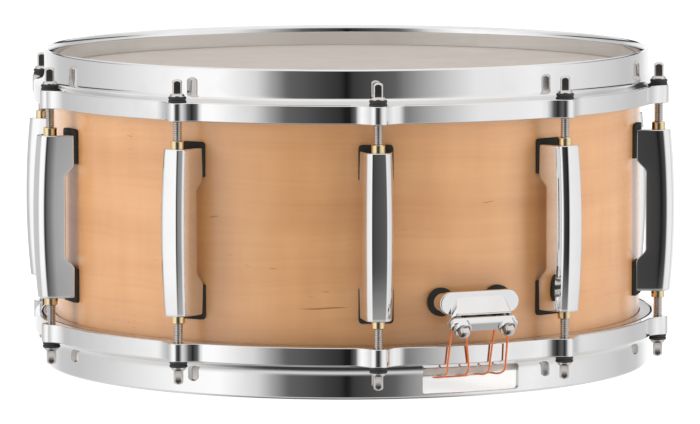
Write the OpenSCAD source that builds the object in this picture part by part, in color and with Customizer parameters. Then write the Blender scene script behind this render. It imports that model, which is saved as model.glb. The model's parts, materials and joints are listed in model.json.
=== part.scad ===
/* [Shell] */
// Outside diameter of the shell
shell_d = 355.6; // [350:0.1:360]
// Depth of the shell from bearing edge to bearing edge
shell_h = 165.1; // [160:0.1:175]
// Wall thickness of the plies
shell_wall = 7.5; // [6.5:0.1:9]
// Height of each hoop's rim beyond the bearing edge
rim_stand = 12.85; // [12.5:0.05:13.5]
// Depth of the snare beds
bed_depth = 1.2; // [0.6:0.1:1.6]

/* [Hoops] */
// Outside radius of the hoop's wall
hoop_wall_r = 183.2; // [183:0.1:183.4]
// Inside radius of the hoop's wall
hoop_inner_r = 179.7; // [179.4:0.1:180]
// Outside radius of the flange between the ears
flange_r = 189.6; // [189.2:0.1:190]
// Radius of the circle that the rods stand on
rod_circle_r = 191.7; // [191.4:0.1:192]
// Radius of an ear round its rod
ear_r = 6; // [5.5:0.1:6.2]
// Radius of the blend between an ear and the flange
ear_blend_r = 15; // [12:0.5:18]
// Width of each snare gate
gate_w = 61; // [56:1:64]

/* [Tensioning] */
// Number of lugs
lug_count = 10; // [10:1:10]
// Height of a lug's casting
lug_h = 97.2; // [94:0.2:100]
// Major diameter of a rod's thread
rod_d = 5.4; // [5:0.1:5.5]
// Width across the flats of a rod's square head
key_flat = 5.5; // [5.4:0.05:6.4]
// Direction that the flats of every rod's head face, from the butt plate's side
key_deg = -23.4; // [-45:0.1:45]
// Outside diameter of a brass nut's collar
nut_collar_d = 8; // [7.8:0.1:8.4]

/* [Heads] */
// Thickness of a head's film
film_t = 0.3; // [0.25:0.01:0.35]
// Height of a flesh hoop
flesh_h = 10; // [8:0.5:10]

/* [Snares] */
// Number of coiled strands
strand_count = 20; // [12:2:20]
// Outside diameter of a strand's coil
strand_d = 1.9; // [1.6:0.1:2]
// Distance between the outer edges of the two end plates
snare_length = 326; // [320:1:328]
// Diameter of the cords
cord_d = 1.4; // [1.2:0.1:1.5]
// Distance between the centres of the butt plate's posts
post_gap = 36; // [34:0.5:37]

/* [Strainer] */
// Length of the lever above its pin
lever_length = 52; // [44:1:58]
// Eccentricity of the lever's cam
cam_offset = 3; // [2.5:0.1:3]

/* [Hidden] */
$fn = 64;

// Heights. The base plane is the snare-side rim.
total_h = shell_h + 2 * rim_stand;
mid_h = total_h / 2;
shell_r = shell_d / 2;
shell_in_r = shell_r - shell_wall;
lug_low = mid_h - lug_h / 2;
lug_high = mid_h + lug_h / 2;
lug_pitch_deg = 360 / lug_count;
gap = 0.05;

// A hoop, measured from its own rim.
lip_r = (hoop_wall_r - hoop_inner_r) / 2;
lip_land = 0.1;
wall_end = 13.4;
cove_end_r = 185.4;
cove_end = 18.5;
flange_top = 20.2;
flange_end = 31;
flange_inner_r = 185.6;
step_under = 20.7;
rod_hole_r = 3;
seat_depth = 0.2;
gate_sill = 2.5;
gate_head = 17.6;

// Bearing edge: apex radius and its height above the outer corner.
apex_r = shell_r - 1.3;
apex_drop = 1.3;

// A rod, measured from its hoop's rim.
washer_under = flange_top + seat_depth;
washer_t = 3.6;
washer_r = 5.2;
collar_t = 1.7;
collar_r = 4.45;
head_t = 8.7;
rod_depth = 72;

// A lug. Its section is widest at the shell, and has a ridge on each side of its crown.
gasket_t = 2.3;
lug_root_half = 10;
lug_side_half = 8.3;
lug_side_r = 194.5;
lug_ridge_half = 7.4;
lug_ridge_r = 198.4;
lug_crown_half = 4.5;
foot_h = 17.4;
pad_h = 20.4;
pad_w = 20;
pad_over = 3.1;
crown_r = 201.2;
crown_bow = 2.4;
bridge_r = 185.7;
bridge_rise = 8;
nut_r = 3.75;
nut_socket_r = 4.05;
nut_h = 20;
nut_proud = 4.4;
nut_bore_r = rod_d / 2 + 0.06;
foot_screw_in = 8;

// Screws from inside the shell.
screw_r = 2.2;
screw_head_r = 4.6;
screw_head_t = 3.2;
washer_plate_t = 1.2;
washer_plate_r = 6.5;
screw_hole_r = 2.75;
// Screws beside the middle plane sit deeper, because the wall curves away from them.
side_seat = 1.9;
screw_reach = gasket_t + 5;
hex_r = 2.6;
hex_depth = 1.6;

// Butt plate and clamp, as distance out from the shell and height.
butt_z = 55.4;
post_r = 6.7;
post_pad_r = 7.75;
plate_w = 50;
plate_h = 13.5;
plate_back = 11.6;
plate_front = 15.4;
ridge_out = 20.8;
ridge_z = 50.2;
clamp_tilt = 45;
clamp_face = 9.2;
clamp_gap = 2;
clamp_w = 43;
clamp_deep = 8.6;
clamp_t = 4.5;
clamp_step = 1.2;
clamp_screw_gap = 28.4;
clamp_collar_r = 4.2;
clamp_collar_t = 1.2;
clamp_head = 6.2;
clamp_shaft_r = 1.9;
clamp_shaft_in = 5;
block_w = 34;
block_top_out = 15.6;

// Strainer.
strainer_w = 34;
strainer_low = 60;
strainer_high = 116;
channel_w = 19;
channel_back = 5;
keeper_back = 13.2;
strainer_front = 16;
pin_out = 20;
pin_z = 98;
pin_r = 2.5;
cam_r = 7;
cam_rest_z = pin_z + cam_offset;
hub_r = 6.5;
hub_w = 18.4;
rib_w = 8;
keeper_lip = 2.3;
back_top = 109;
slide_top = 113;
slide_clear = 0.3;
neck_low = 54;
neck_high = 79;
prong_back = 10;
prong_front = 22;
cam_under = cam_rest_z - cam_r - 0.3;
knob_out = 9.2;
knob_r = 6;
knob_z = 119;
knob_h = 10;
knob_screw_r = 2;
knob_screw_low = 64;

// Heads.
skirt_r = shell_r + 0.3;
film_corner = 1.1;
skirt_end = 29.5;

// Snares: everything hangs just under the snare-side film.
film_under = rim_stand - film_t;
strand_z = film_under - strand_d / 2 - 0.15;
plate_deep = 20;
end_plate_w = 44;
end_plate_t = 0.8;
end_plate_z = strand_z - strand_d / 2 - end_plate_t;
wire_start = 31;

// Side view that every cord strand follows, as distance out from the shell and height: from the clamp
// down in front of the flange, in through the gate, along the end plate and down through its hole.
cord_r = cord_d / 2;
hole_out = -19.1;
strand_side = [[17.4, 45.4], [15.4, 43.4], [14.1, 41.4], [13.5, 38], [13.2, 28], [12.9, 20], [12.6, 17.2],
               [11.2, 15.1], [8, 13.4], [2, 12], [-8, 11.4], [-15.2, 11.3], [-17.8, 11], [-19, 10.1],
               [-19.1, 9.4]];
// Places across of each strand: at the clamp, in front of the flange and at the end plate.
strand_across = [[-17, -19.4, -14.5], [-8.4, -6.1, -3], [10.2, 7.4, 7.7], [19, 17.5, 16.5]];
// Under the plate each cord runs across between its two holes, at its own distance out and height.
crossings = [[0, 2, -17.6, 8.9], [1, 3, -20.7, 8.9]];

// Angle of lug i, from the butt plate's side, anticlockwise seen from above.
function lug_angle(i) = (i - 0.5) * lug_pitch_deg;

// ---- Placing ----

// Turns children drawn at the butt side to an angle round the drum.
module at_angle(a) { rotate([0, 0, a]) children(); }

// Turns children drawn with their z pointing out of the shell, their x across and their y up.
module facing_out(out, z) { translate([0, -shell_r - out, z]) rotate([90, 0, 0]) children(); }

// Draws children for the snare side, and mirrored about mid height for the batter side.
module batter_side() { translate([0, 0, total_h]) mirror([0, 0, 1]) children(); }

// Places children at every lug.
module each_lug() { for (i = [1:lug_count]) at_angle(lug_angle(i)) children(); }

// Extrudes an outline drawn as distance out and height, over a width centred on the drum's middle plane.
module side_profile(w) {
    translate([-w / 2, -shell_r, 0]) rotate([90, 0, 90]) linear_extrude(w) mirror([1, 0]) children();
}

// Places children at each post of the butt plate, z out of the shell.
module each_post(out) { for (x = butt_screw_x) translate([x, 0, 0]) facing_out(out, butt_z) children(); }

// Places children at each of the strainer's screws, which stand one low and one high.
module each_strainer_screw(out) {
    for (s = [-1, 1])
        translate([s * strainer_screw_x, 0, 0]) facing_out(out, strainer_screw_z[(1 + s) / 2]) children();
}

// Places children at each of a clamp's two screws.
module each_clamp_screw() { for (s = [-1, 1]) translate([s * clamp_screw_gap / 2, 0, 0]) children(); }

// A cylinder lying across the drum's middle plane.
module crossbar(out, z, r, w) {
    translate([-w / 2, -shell_r - out, z]) rotate([0, 90, 0]) cylinder(r = r, h = w);
}

// ---- Shell ----

module shell_outline() {
    low = rim_stand;
    high = rim_stand + shell_h;
    bevel = apex_r - shell_in_r;
    polygon([[shell_in_r, low + bevel], [apex_r, low], [shell_r, low + apex_drop],
             [shell_r, high - apex_drop], [apex_r, high], [shell_in_r, high - bevel]]);
}

module snare_bed() {
    bed_curve = 900;
    translate([0, -shell_r - 1, rim_stand + bed_depth - bed_curve])
        rotate([-90, 0, 0]) cylinder(r = bed_curve, h = shell_d + 2, $fn = 128);
}

// A hole through the shell wall, from 1 mm outside it.
module wall_hole(r) { translate([0, 0, -shell_wall - 3]) cylinder(r = r, h = shell_wall + 3); }

// Heights of a lug's two screws, then places of the butt's and strainer's screws.
lug_screw_z = [lug_low + foot_screw_in, lug_high - foot_screw_in];
butt_screw_x = [-post_gap / 2, post_gap / 2];
strainer_screw_z = [66, 110];
strainer_screw_x = 12.5;
vent_deg = 144;
vent_r = 6.5;

module shell() color("burlywood") difference() {
    rotate_extrude($fn = 180) shell_outline();
    snare_bed();
    each_lug() for (z = lug_screw_z) facing_out(1, z) wall_hole(screw_hole_r);
    each_post(1) wall_hole(screw_hole_r);
    at_angle(180) each_strainer_screw(1) wall_hole(screw_hole_r);
    at_angle(vent_deg) facing_out(1, mid_h) wall_hole(vent_r);
}

module vent_grommet() color("silver") at_angle(vent_deg) facing_out(0, mid_h) rotate_extrude() {
    bore = 4.6;
    lip = 0.9;
    outer_lip_r = 10;
    inner_lip_r = 8.6;
    outer_lip_out = 0.45;
    inner_lip_out = -shell_wall - 1.3;
    translate([bore, inner_lip_out]) square([vent_r - 0.2 - bore, outer_lip_out - inner_lip_out + lip]);
    translate([bore, outer_lip_out]) square([outer_lip_r - bore, lip]);
    translate([bore, inner_lip_out]) square([inner_lip_r - bore, lip]);
}

// ---- Heads ----

// Half section of a film, with its flat face at the bearing edge.
module film_outline() {
    outer = skirt_r + film_t;
    corner_z = rim_stand + film_corner;
    polygon([[0, film_under], [skirt_r - film_corner, film_under], [outer, corner_z], [outer, skirt_end],
             [skirt_r, skirt_end], [skirt_r, corner_z], [skirt_r - film_corner, rim_stand], [0, rim_stand]]);
}

module flesh_outline() {
    outer = skirt_r + film_t;
    translate([outer + gap, step_under + 0.3]) square([flange_inner_r - outer - 1, flesh_h]);
}

module batter_head_film() color("gainsboro") batter_side() rotate_extrude($fn = 180) film_outline();
module batter_head_hoop() color("silver") batter_side() rotate_extrude($fn = 180) flesh_outline();
module snare_head_film() color("whitesmoke") rotate_extrude($fn = 180) film_outline();
module snare_head_hoop() color("silver") rotate_extrude($fn = 180) flesh_outline();

// ---- Hoops ----

// Half section of a hoop, from its rim upwards.
module hoop_outline() {
    root = hoop_wall_r - 1;
    difference() {
        union() {
            translate([hoop_inner_r + lip_r, lip_r - lip_land]) circle(lip_r);
            translate([hoop_inner_r, lip_r]) square([2 * lip_r, step_under - lip_r]);
            polygon([[root, wall_end], [hoop_wall_r, wall_end], [hoop_wall_r + 0.5, wall_end + 3.2],
                     [cove_end_r, cove_end], [flange_r, flange_top], [flange_r, flange_end - 0.5],
                     [flange_r - 0.5, flange_end], [flange_inner_r, flange_end],
                     [flange_inner_r, step_under], [root, step_under]]);
        }
        translate([hoop_inner_r - 1, -1]) square([2 * lip_r + 2, 1]);
    }
}

// Outline of one ear and the blends to the flange on both sides.
module ear_outline() {
    d1 = flange_r + ear_blend_r;
    d2 = ear_r + ear_blend_r;
    out = (d1 * d1 - d2 * d2 + rod_circle_r * rod_circle_r) / (2 * rod_circle_r);
    across = sqrt(d1 * d1 - out * out);
    root = flange_inner_r + 1.5;
    difference() {
        polygon([[0, -root], [across, -root], [across, -out], [0, -rod_circle_r], [-across, -out],
                 [-across, -root]]);
        for (s = [-1, 1]) translate([s * across, -out]) circle(ear_blend_r);
        circle(flange_inner_r + 1, $fn = 180);
    }
    translate([0, -rod_circle_r]) circle(ear_r);
}

module hoop_ears() {
    translate([0, 0, flange_top]) linear_extrude(flange_end - flange_top) intersection() {
        each_lug() ear_outline();
        difference() {
            circle(rod_circle_r + 2 * ear_r);
            circle(flange_inner_r + 1.2, $fn = 180);
        }
    }
}

// Rod holes through the ears, and the flat seats for their washers.
module rod_holes() {
    each_lug() translate([0, -rod_circle_r, 0]) {
        cylinder(r = rod_hole_r, h = total_h);
        translate([0, 0, wall_end]) cylinder(r = washer_r + 0.25, h = washer_under - wall_end);
    }
}

module hoop() {
    difference() {
        union() {
            rotate_extrude($fn = 180) hoop_outline();
            hoop_ears();
        }
        rod_holes();
    }
}

module snare_gate() {
    corner = 2.2;
    high = gate_head - gate_sill;
    inside = hoop_inner_r - 4;
    translate([0, -inside, gate_sill]) rotate([90, 0, 0]) linear_extrude(hoop_wall_r + 1.5 - inside) {
        for (s = [-1, 1], z = [corner, high - corner])
            translate([s * (gate_w / 2 - corner), z]) circle(corner);
        translate([-gate_w / 2, corner]) square([gate_w, high - 2 * corner]);
        translate([corner - gate_w / 2, 0]) square([gate_w - 2 * corner, high]);
    }
}

module batter_hoop() color("gainsboro") batter_side() hoop();
module snare_hoop() color("gainsboro") difference() {
    hoop();
    for (a = [0, 180]) at_angle(a) snare_gate();
}

// ---- Rods, washers and nuts ----

// A square head with a domed end, from z = 0 downwards.
module key_head(h) {
    dome = 4.9;
    intersection() {
        translate([-key_flat / 2, -key_flat / 2, -h]) cube([key_flat, key_flat, h]);
        union() {
            translate([0, 0, dome - h]) sphere(dome);
            translate([0, 0, dome - h]) cylinder(r = dome, h = h);
        }
    }
}

// One rod of the snare side, head down, at the butt side, with its head turned by an angle.
module tension_rod(head_turn) {
    seat = washer_under - washer_t - gap;
    tip = 1;
    translate([0, -rod_circle_r, 0]) {
        rotate_extrude() polygon([
            [0, seat - collar_t], [collar_r - 0.6, seat - collar_t], [collar_r, seat - 0.5], [collar_r, seat],
            [rod_d / 2, seat], [rod_d / 2, rod_depth - tip], [rod_d / 2 - tip, rod_depth], [0, rod_depth]]);
        translate([0, 0, seat - collar_t]) rotate([0, 0, head_turn]) key_head(head_t);
    }
}

module rod_washer() {
    groove = 0.35;
    translate([0, -rod_circle_r, washer_under - washer_t - gap / 2]) rotate_extrude()
        polygon([[rod_d / 2 + 0.1, 0], [washer_r - 0.3, 0], [washer_r, 0.3], [washer_r, 1.4],
                 [washer_r - groove, 1.6], [washer_r - groove, 2], [washer_r, 2.2], [washer_r, 3.2],
                 [washer_r - 0.3, washer_t], [rod_d / 2 + 0.1, washer_t]]);
}

module snare_rod(i) color("silver") at_angle(lug_angle(i)) tension_rod(key_deg - lug_angle(i));
module batter_rod(i) color("silver") batter_side() at_angle(lug_angle(i)) tension_rod(key_deg - lug_angle(i));
module snare_rod_washers() color("black") each_lug() rod_washer();
module batter_rod_washers() color("black") batter_side() each_lug() rod_washer();

module swivel_nut() {
    top = lug_low - nut_proud;
    seat = lug_low - gap;
    collar = nut_collar_d / 2;
    translate([0, -rod_circle_r, 0]) rotate_extrude() polygon([
        [nut_bore_r, top], [collar - 0.3, top], [collar, top + 0.3], [collar, seat], [nut_r, seat],
        [nut_r, top + nut_h], [nut_bore_r, top + nut_h]]);
}

module swivel_nuts() color("goldenrod") each_lug() {
    swivel_nut();
    batter_side() swivel_nut();
}

// ---- Lugs ----

// Cross-section of a lug: sides that curve in to a ridge, angled front faces and a narrow front facet.
module lug_section() {
    half = [[lug_root_half, -shell_r], [lug_side_half, -lug_side_r], [lug_ridge_half, -lug_ridge_r],
            [lug_crown_half, -crown_r]];
    polygon(concat(half, [for (i = [3:-1:0]) [-half[i][0], half[i][1]]]));
}

// Side view of a lug: bowed crown, and an arch between the feet.
module lug_side() {
    bow_r = (pow(lug_h / 2, 2) + crown_bow * crown_bow) / (2 * crown_bow);
    arch_low = lug_low + foot_h;
    arch_high = lug_high - foot_h;
    bridge = bridge_r - shell_r;
    difference() {
        translate([0, lug_low]) square([crown_r + 1 - shell_r, lug_h]);
        difference() {
            translate([-1, lug_low - 1]) square([crown_r + 4 - shell_r, lug_h + 2]);
            translate([crown_r - shell_r - bow_r, mid_h]) circle(bow_r, $fn = 360);
        }
        polygon([[-1, arch_low], [gasket_t, arch_low], [bridge, arch_low + bridge_rise],
                 [bridge, arch_high - bridge_rise], [gasket_t, arch_high], [-1, arch_high]]);
    }
}

module lug_body() {
    difference() {
        intersection() {
            translate([0, 0, lug_low]) linear_extrude(lug_h) lug_section();
            side_profile(30) lug_side();
        }
        cylinder(r = shell_r + gasket_t + gap, h = total_h, $fn = 180);
        for (z = [lug_low - 1, lug_high + 1 - nut_h])
            translate([0, -rod_circle_r, z]) cylinder(r = nut_socket_r, h = nut_h);
        translate([0, -rod_circle_r, lug_low - 1]) cylinder(r = rod_hole_r, h = lug_h + 2);
        for (z = lug_screw_z)
            translate([0, -shell_r - screw_reach - 0.4, z]) rotate([-90, 0, 0])
                cylinder(r = screw_r + gap, h = screw_reach);
    }
}

module lug(i) color("gainsboro") at_angle(lug_angle(i)) lug_body();

// A pad between a foot and the shell, bent to the shell, for the foot at the low end.
module lug_pad() {
    low = lug_low - pad_over;
    corner = 2;
    difference() {
        intersection() {
            translate([0, -shell_r + 3, low]) rotate([90, 0, 0]) linear_extrude(8) {
                for (s = [-1, 1]) translate([s * (pad_w / 2 - corner), corner]) circle(corner);
                translate([-pad_w / 2, corner]) square([pad_w, pad_h - corner]);
                translate([corner - pad_w / 2, 0]) square([pad_w - 2 * corner, pad_h]);
            }
            cylinder(r = shell_r + gasket_t, h = total_h, $fn = 180);
        }
        cylinder(r = shell_r + gap / 2, h = total_h, $fn = 180);
        translate([0, 0, lug_screw_z[0]]) rotate([90, 0, 0]) cylinder(r = screw_hole_r, h = shell_d);
    }
}

module lug_gaskets() color("black") each_lug() {
    lug_pad();
    batter_side() lug_pad();
}

// ---- Screws through the shell ----

// Placed with z out of the shell and the head against the inside wall.
module mounting_screw(reach) {
    inside = -shell_wall - washer_plate_t - 0.75;
    translate([0, 0, inside]) cylinder(r = screw_r, h = reach - inside);
    translate([0, 0, inside - screw_head_t]) difference() {
        cylinder(r = screw_head_r, h = screw_head_t);
        translate([0, 0, -1]) cylinder(r = hex_r, h = hex_depth + 1, $fn = 6);
    }
}

module mounting_washer() {
    inside = -shell_wall - washer_plate_t - 0.7;
    translate([0, 0, inside]) difference() {
        cylinder(r = washer_plate_r, h = washer_plate_t);
        translate([0, 0, -1]) cylinder(r = screw_hole_r, h = washer_plate_t + 2);
    }
}

// Places children at every mounting screw, z out of the shell.
module each_mounting() {
    each_lug() for (z = lug_screw_z) facing_out(0, z) children();
    each_post(-side_seat) children();
    at_angle(180) each_strainer_screw(-side_seat) children();
}

module mounting_screws() color("silver") each_mounting() mounting_screw(screw_reach);
module mounting_washers() color("silver") each_mounting() mounting_washer();

// ---- Cord clamp, shared by the butt plate and the strainer ----

// Places children on the tilted clamp face: x across, y up the face, z out of it, centred on the face.
module on_clamp_face() {
    half = clamp_face / 2 * cos(clamp_tilt);
    facing_out(ridge_out - half, ridge_z - half) rotate([clamp_tilt, 0, 0]) children();
}

module stadium(w, h) {
    for (s = [-1, 1]) translate([s * (w - h) / 2, 0]) circle(h / 2);
    square([w - h, h], center = true);
}

module clamp_holes(r, depth) {
    on_clamp_face() each_clamp_screw() translate([0, 0, -depth]) cylinder(r = r, h = depth + 1);
}

// Block that the cords are clamped against, as an outline of distance out and height.
module clamp_block_side(back, top = 60) {
    drop = clamp_face * cos(clamp_tilt);
    polygon([[back, top], [block_top_out, top], [ridge_out - 0.3, ridge_z + 0.8], [ridge_out, ridge_z],
             [ridge_out - drop, ridge_z - drop], [back, ridge_z - drop]]);
}

module clamp_plate() {
    on_clamp_face() translate([0, 0, clamp_gap]) difference() {
        union() {
            linear_extrude(clamp_t - clamp_step) stadium(clamp_w, clamp_deep);
            linear_extrude(clamp_t) stadium(clamp_w - 2 * clamp_step, clamp_deep - 2 * clamp_step);
        }
        each_clamp_screw() translate([0, 0, -1]) cylinder(r = clamp_shaft_r + 0.2, h = clamp_t + 2);
    }
}

module clamp_screws() {
    on_clamp_face() each_clamp_screw() translate([0, 0, clamp_gap + clamp_t + gap]) {
        under = clamp_gap + clamp_t + clamp_shaft_in;
        translate([0, 0, -under]) cylinder(r = clamp_shaft_r, h = under + 0.5);
        cylinder(r = clamp_collar_r, h = clamp_collar_t);
        mirror([0, 0, 1]) key_head(clamp_head);
    }
}

// ---- Butt plate ----

module butt_base() color("gainsboro") difference() {
    union() {
        each_post(0) cylinder(r = post_r, h = plate_back + 1);
        facing_out(plate_back, butt_z + 0.4)
            linear_extrude(plate_front - plate_back) stadium(plate_w, plate_h);
        side_profile(block_w) clamp_block_side(plate_back);
    }
    cylinder(r = shell_r + gasket_t + gap, h = total_h, $fn = 180);
    each_post(0) cylinder(r = screw_r + gap, h = screw_reach + 1);
    clamp_holes(clamp_shaft_r + gap, clamp_shaft_in + 0.2);
}

module butt_gaskets() color("black") difference() {
    each_post(-1) difference() {
        cylinder(r = post_pad_r, h = 5);
        translate([0, 0, -1]) cylinder(r = screw_hole_r, h = 7);
    }
    cylinder(r = shell_r + gap / 2, h = total_h, $fn = 180);
    difference() {
        cylinder(r = shell_r + 20, h = total_h, $fn = 180);
        translate([0, 0, -1]) cylinder(r = shell_r + gasket_t, h = total_h + 2, $fn = 180);
    }
}

module butt_clamp_plate() color("gainsboro") clamp_plate();
module butt_clamp_screws() color("silver") clamp_screws();

// ---- Strainer, drawn at the butt side and turned to the far side ----

module strainer_base() color("gainsboro") at_angle(180) difference() {
    side_profile(strainer_w) polygon([
        [0, strainer_low + 2], [2, strainer_low], [strainer_front - 2, strainer_low],
        [strainer_front, strainer_low + 2], [strainer_front, pin_z - 14], [pin_out + 5, pin_z - 5],
        [pin_out + 5, pin_z + 4], [strainer_front, strainer_high], [0, strainer_high]]);
    cylinder(r = shell_r + gasket_t + gap, h = total_h, $fn = 180);
    // Channel for the slide, its narrower mouth, and the open top behind the knob.
    from_below = [channel_back, strainer_low - 1];
    side_profile(channel_w) translate(from_below) square([keeper_back - channel_back, strainer_high]);
    side_profile(channel_w - 2 * keeper_lip) translate(from_below) square([strainer_w, strainer_high]);
    side_profile(hub_w + 0.8) translate([keeper_back - 1, pin_z - 12]) square([strainer_w, strainer_high]);
    side_profile(channel_w) translate([0, back_top]) square([keeper_back, strainer_high - back_top + 1]);
    crossbar(pin_out, pin_z, pin_r + 0.02, 2 * strainer_w);
    each_strainer_screw(0) cylinder(r = screw_r + gap, h = screw_reach + 1);
}

module strainer_gasket() color("black") at_angle(180) difference() {
    intersection() {
        side_profile(strainer_w + 3) translate([-3, strainer_low - 1.5])
            square([8, strainer_high - strainer_low + 3]);
        cylinder(r = shell_r + gasket_t, h = total_h, $fn = 180);
    }
    cylinder(r = shell_r + gap / 2, h = total_h, $fn = 180);
    each_strainer_screw(-2) cylinder(r = screw_hole_r, h = 6);
}

module strainer_carriage() color("silver") at_angle(180) difference() {
    union() {
        // Wide slide in the channel, neck through its mouth, and the block below.
        side_profile(channel_w - 2 * slide_clear) translate([channel_back + slide_clear, strainer_low + 1])
            square([keeper_back - channel_back - 2 * slide_clear, slide_top - strainer_low - 1]);
        side_profile(channel_w - 2 * keeper_lip - 2 * slide_clear) translate([channel_back + 1, neck_low])
            square([keeper_back + 0.4 - channel_back, neck_high - neck_low]);
        side_profile(block_w) clamp_block_side(6.5, strainer_low - 0.4);
        // Rib with the slot that the cam works in.
        side_profile(rib_w) polygon([[prong_back, 84], [prong_front, 88], [prong_front, cam_under],
                                     [prong_back, cam_under]]);
        side_profile(rib_w) translate([prong_back, cam_rest_z + cam_r + 1.1])
            square([prong_front - prong_back, 4]);
    }
    // The head's flange passes behind the block.
    translate([0, 0, skirt_end])
        cylinder(r = shell_r + channel_back, h = strainer_low - 1 - skirt_end, $fn = 180);
    // Room for the cam as it turns, and the bore for the knob's screw.
    crossbar(pin_out, cam_rest_z, cam_r + 0.5, 2 * rib_w);
    side_profile(rib_w + 4) translate([prong_back - 0.4, cam_under]) square([20, 2 * cam_r + 1.4]);
    translate([0, -shell_r - knob_out, strainer_low + 2]) cylinder(r = knob_screw_r + 0.04, h = slide_top);
    clamp_holes(clamp_shaft_r + gap, clamp_shaft_in + 0.2);
}

module strainer_knob() color("silver") at_angle(180) translate([0, -shell_r - knob_out, 0]) {
    translate([0, 0, knob_screw_low]) cylinder(r = knob_screw_r, h = knob_z + 1 - knob_screw_low);
    translate([0, 0, knob_z]) difference() {
        union() {
            cylinder(r = knob_r, h = knob_h - 1);
            cylinder(r = knob_r - 1, h = knob_h);
        }
        for (a = [0:20:340]) rotate([0, 0, a]) translate([knob_r + 0.45, 0, -1])
            cylinder(r = 0.8, h = knob_h + 2);
    }
    translate([0, 0, slide_top + 0.4]) cylinder(r = 3.4, h = knob_z - slide_top);
}

module strainer_lever() color("gainsboro") at_angle(180) difference() {
    arm_w = (hub_w - rib_w - 0.8) / 2;
    knee_z = pin_z + 24;
    bend_z = pin_z + lever_length - 8;
    top_z = pin_z + lever_length;
    union() {
        for (s = [-1, 1]) translate([s * (hub_w - arm_w) / 2, 0, 0]) crossbar(pin_out, pin_z, hub_r, arm_w);
        crossbar(pin_out, cam_rest_z, cam_r, rib_w + 1);
        // Two arms beside the rib, joined in one handle above it.
        for (s = [-1, 1]) translate([s * (hub_w - arm_w) / 2, 0, 0])
            side_profile(arm_w) polygon([[pin_out - 4, pin_z], [pin_out + 5, pin_z], [pin_out + 4.2, knee_z],
                                         [pin_out - 1.6, knee_z]]);
        side_profile(hub_w) polygon([[pin_out - 1.6, knee_z - 1], [pin_out + 4.2, knee_z - 1],
                                     [pin_out + 4.8, bend_z], [lever_reach, top_z],
                                     [lever_reach - 3.4, top_z], [pin_out + 0.8, bend_z]]);
    }
    crossbar(pin_out, pin_z, pin_r + 0.06, 2 * hub_w);
}

module strainer_lever_pin() color("silver") at_angle(180)
    translate([-strainer_w / 2 - 1, -shell_r - pin_out, pin_z]) rotate([0, 90, 0]) {
        cylinder(r = pin_r, h = strainer_w + 1.6);
        cylinder(r = pin_r + 1.5, h = 0.9);
    }

// The lever ends as far out as the butt side's clamp screws do.
screw_end = clamp_gap + clamp_t + gap + clamp_head;
lever_reach = ridge_out - clamp_face / 2 * cos(clamp_tilt) + screw_end * cos(clamp_tilt) + 1.2;

module strainer_clamp_plate() color("gainsboro") at_angle(180) clamp_plate();
module strainer_clamp_screws() color("silver") at_angle(180) clamp_screws();

// ---- Snares ----

module snare_wires() color("silver") for (i = [0:strand_count - 1])
    translate([(i - (strand_count - 1) / 2) * (end_plate_w - 4) / strand_count,
               -shell_r + wire_start, strand_z])
        rotate([-90, 0, 0]) cylinder(r = strand_d / 2, h = shell_d - 2 * wire_start, $fn = 16);

module snare_end_plates() color("silver") for (a = [0, 180]) at_angle(a) difference() {
    translate([-end_plate_w / 2, -snare_length / 2, end_plate_z - 0.02])
        cube([end_plate_w, plate_deep, end_plate_t]);
    for (s = strand_across) translate([s[2], -shell_r - hole_out, end_plate_z - 1])
        cylinder(r = cord_r + 1, h = 3);
}

// ---- Cords ----

// Place across of a strand at a point of its side view.
function across(places, p) = p[1] > 20
    ? places[1] + (places[0] - places[1]) * min(1, (p[1] - 20) / 21.4)
    : places[1] + (places[2] - places[1]) * (12.9 - p[0]) / (12.9 - hole_out);
function strand(places) = [for (p = strand_side) [across(places, p), p[0], p[1]]];
function backwards(list) = [for (i = [len(list) - 1:-1:0]) list[i]];
// One whole cord: down a strand, across under the end plate, and up the other strand.
function cord_route(c) = let (a = strand_across[c[0]], b = strand_across[c[1]], turn = 1.6)
    concat(strand(a), [for (x = [a[2] + turn, (a[2] + b[2]) / 2, b[2] - turn]) [x, c[2], c[3]]],
           backwards(strand(b)));

// A point on the smooth curve between b and c, with neighbours a and d.
function curve_point(a, b, c, d, t) = 0.5 * (2 * b + (c - a) * t + (2 * a - 5 * b + 4 * c - d) * t * t
                                           + (3 * b - a - 3 * c + d) * t * t * t);
function along(route, steps) = [for (i = [0:len(route) - 2], k = [0:steps - 1])
    curve_point(route[max(i - 1, 0)], route[i], route[i + 1], route[min(i + 2, len(route) - 1)], k / steps)];
function smooth(route, steps) = concat(along(route, steps), [route[len(route) - 1]]);
function unit(v) = v / norm(v);
function to_frame(p) = [p[0], -shell_r - p[1], p[2]];

// A tube of eight sides along a route, built as one closed polyhedron.
module tube(route, r) {
    sides = 8;
    path = smooth([for (p = route) to_frame(p)], 2);
    last = len(path) - 1;
    directions = [for (i = [0:last]) unit(path[min(i + 1, last)] - path[max(i - 1, 0)])];
    rings = [for (i = [0:last]) let (t = directions[i], u = unit(cross(t, [1, 0.1, 0])), v = cross(t, u))
        for (k = [0:sides - 1]) path[i] + r * (cos(k * 360 / sides) * u + sin(k * 360 / sides) * v)];
    walls = [for (i = [0:last - 1], k = [0:sides - 1]) let (m = (k + 1) % sides)
        [i * sides + k, i * sides + m, (i + 1) * sides + m, (i + 1) * sides + k]];
    first_cap = [for (k = [sides - 1:-1:0]) k];
    last_cap = [for (k = [0:sides - 1]) last * sides + k];
    polyhedron(rings, concat(walls, [first_cap, last_cap]), 4);
}

module cords() for (c = crossings) tube(cord_route(c), cord_r);
module butt_cords() color("orangered") cords();
module strainer_cords() color("orangered") at_angle(180) cords();

// ---- Nodes ----

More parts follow.
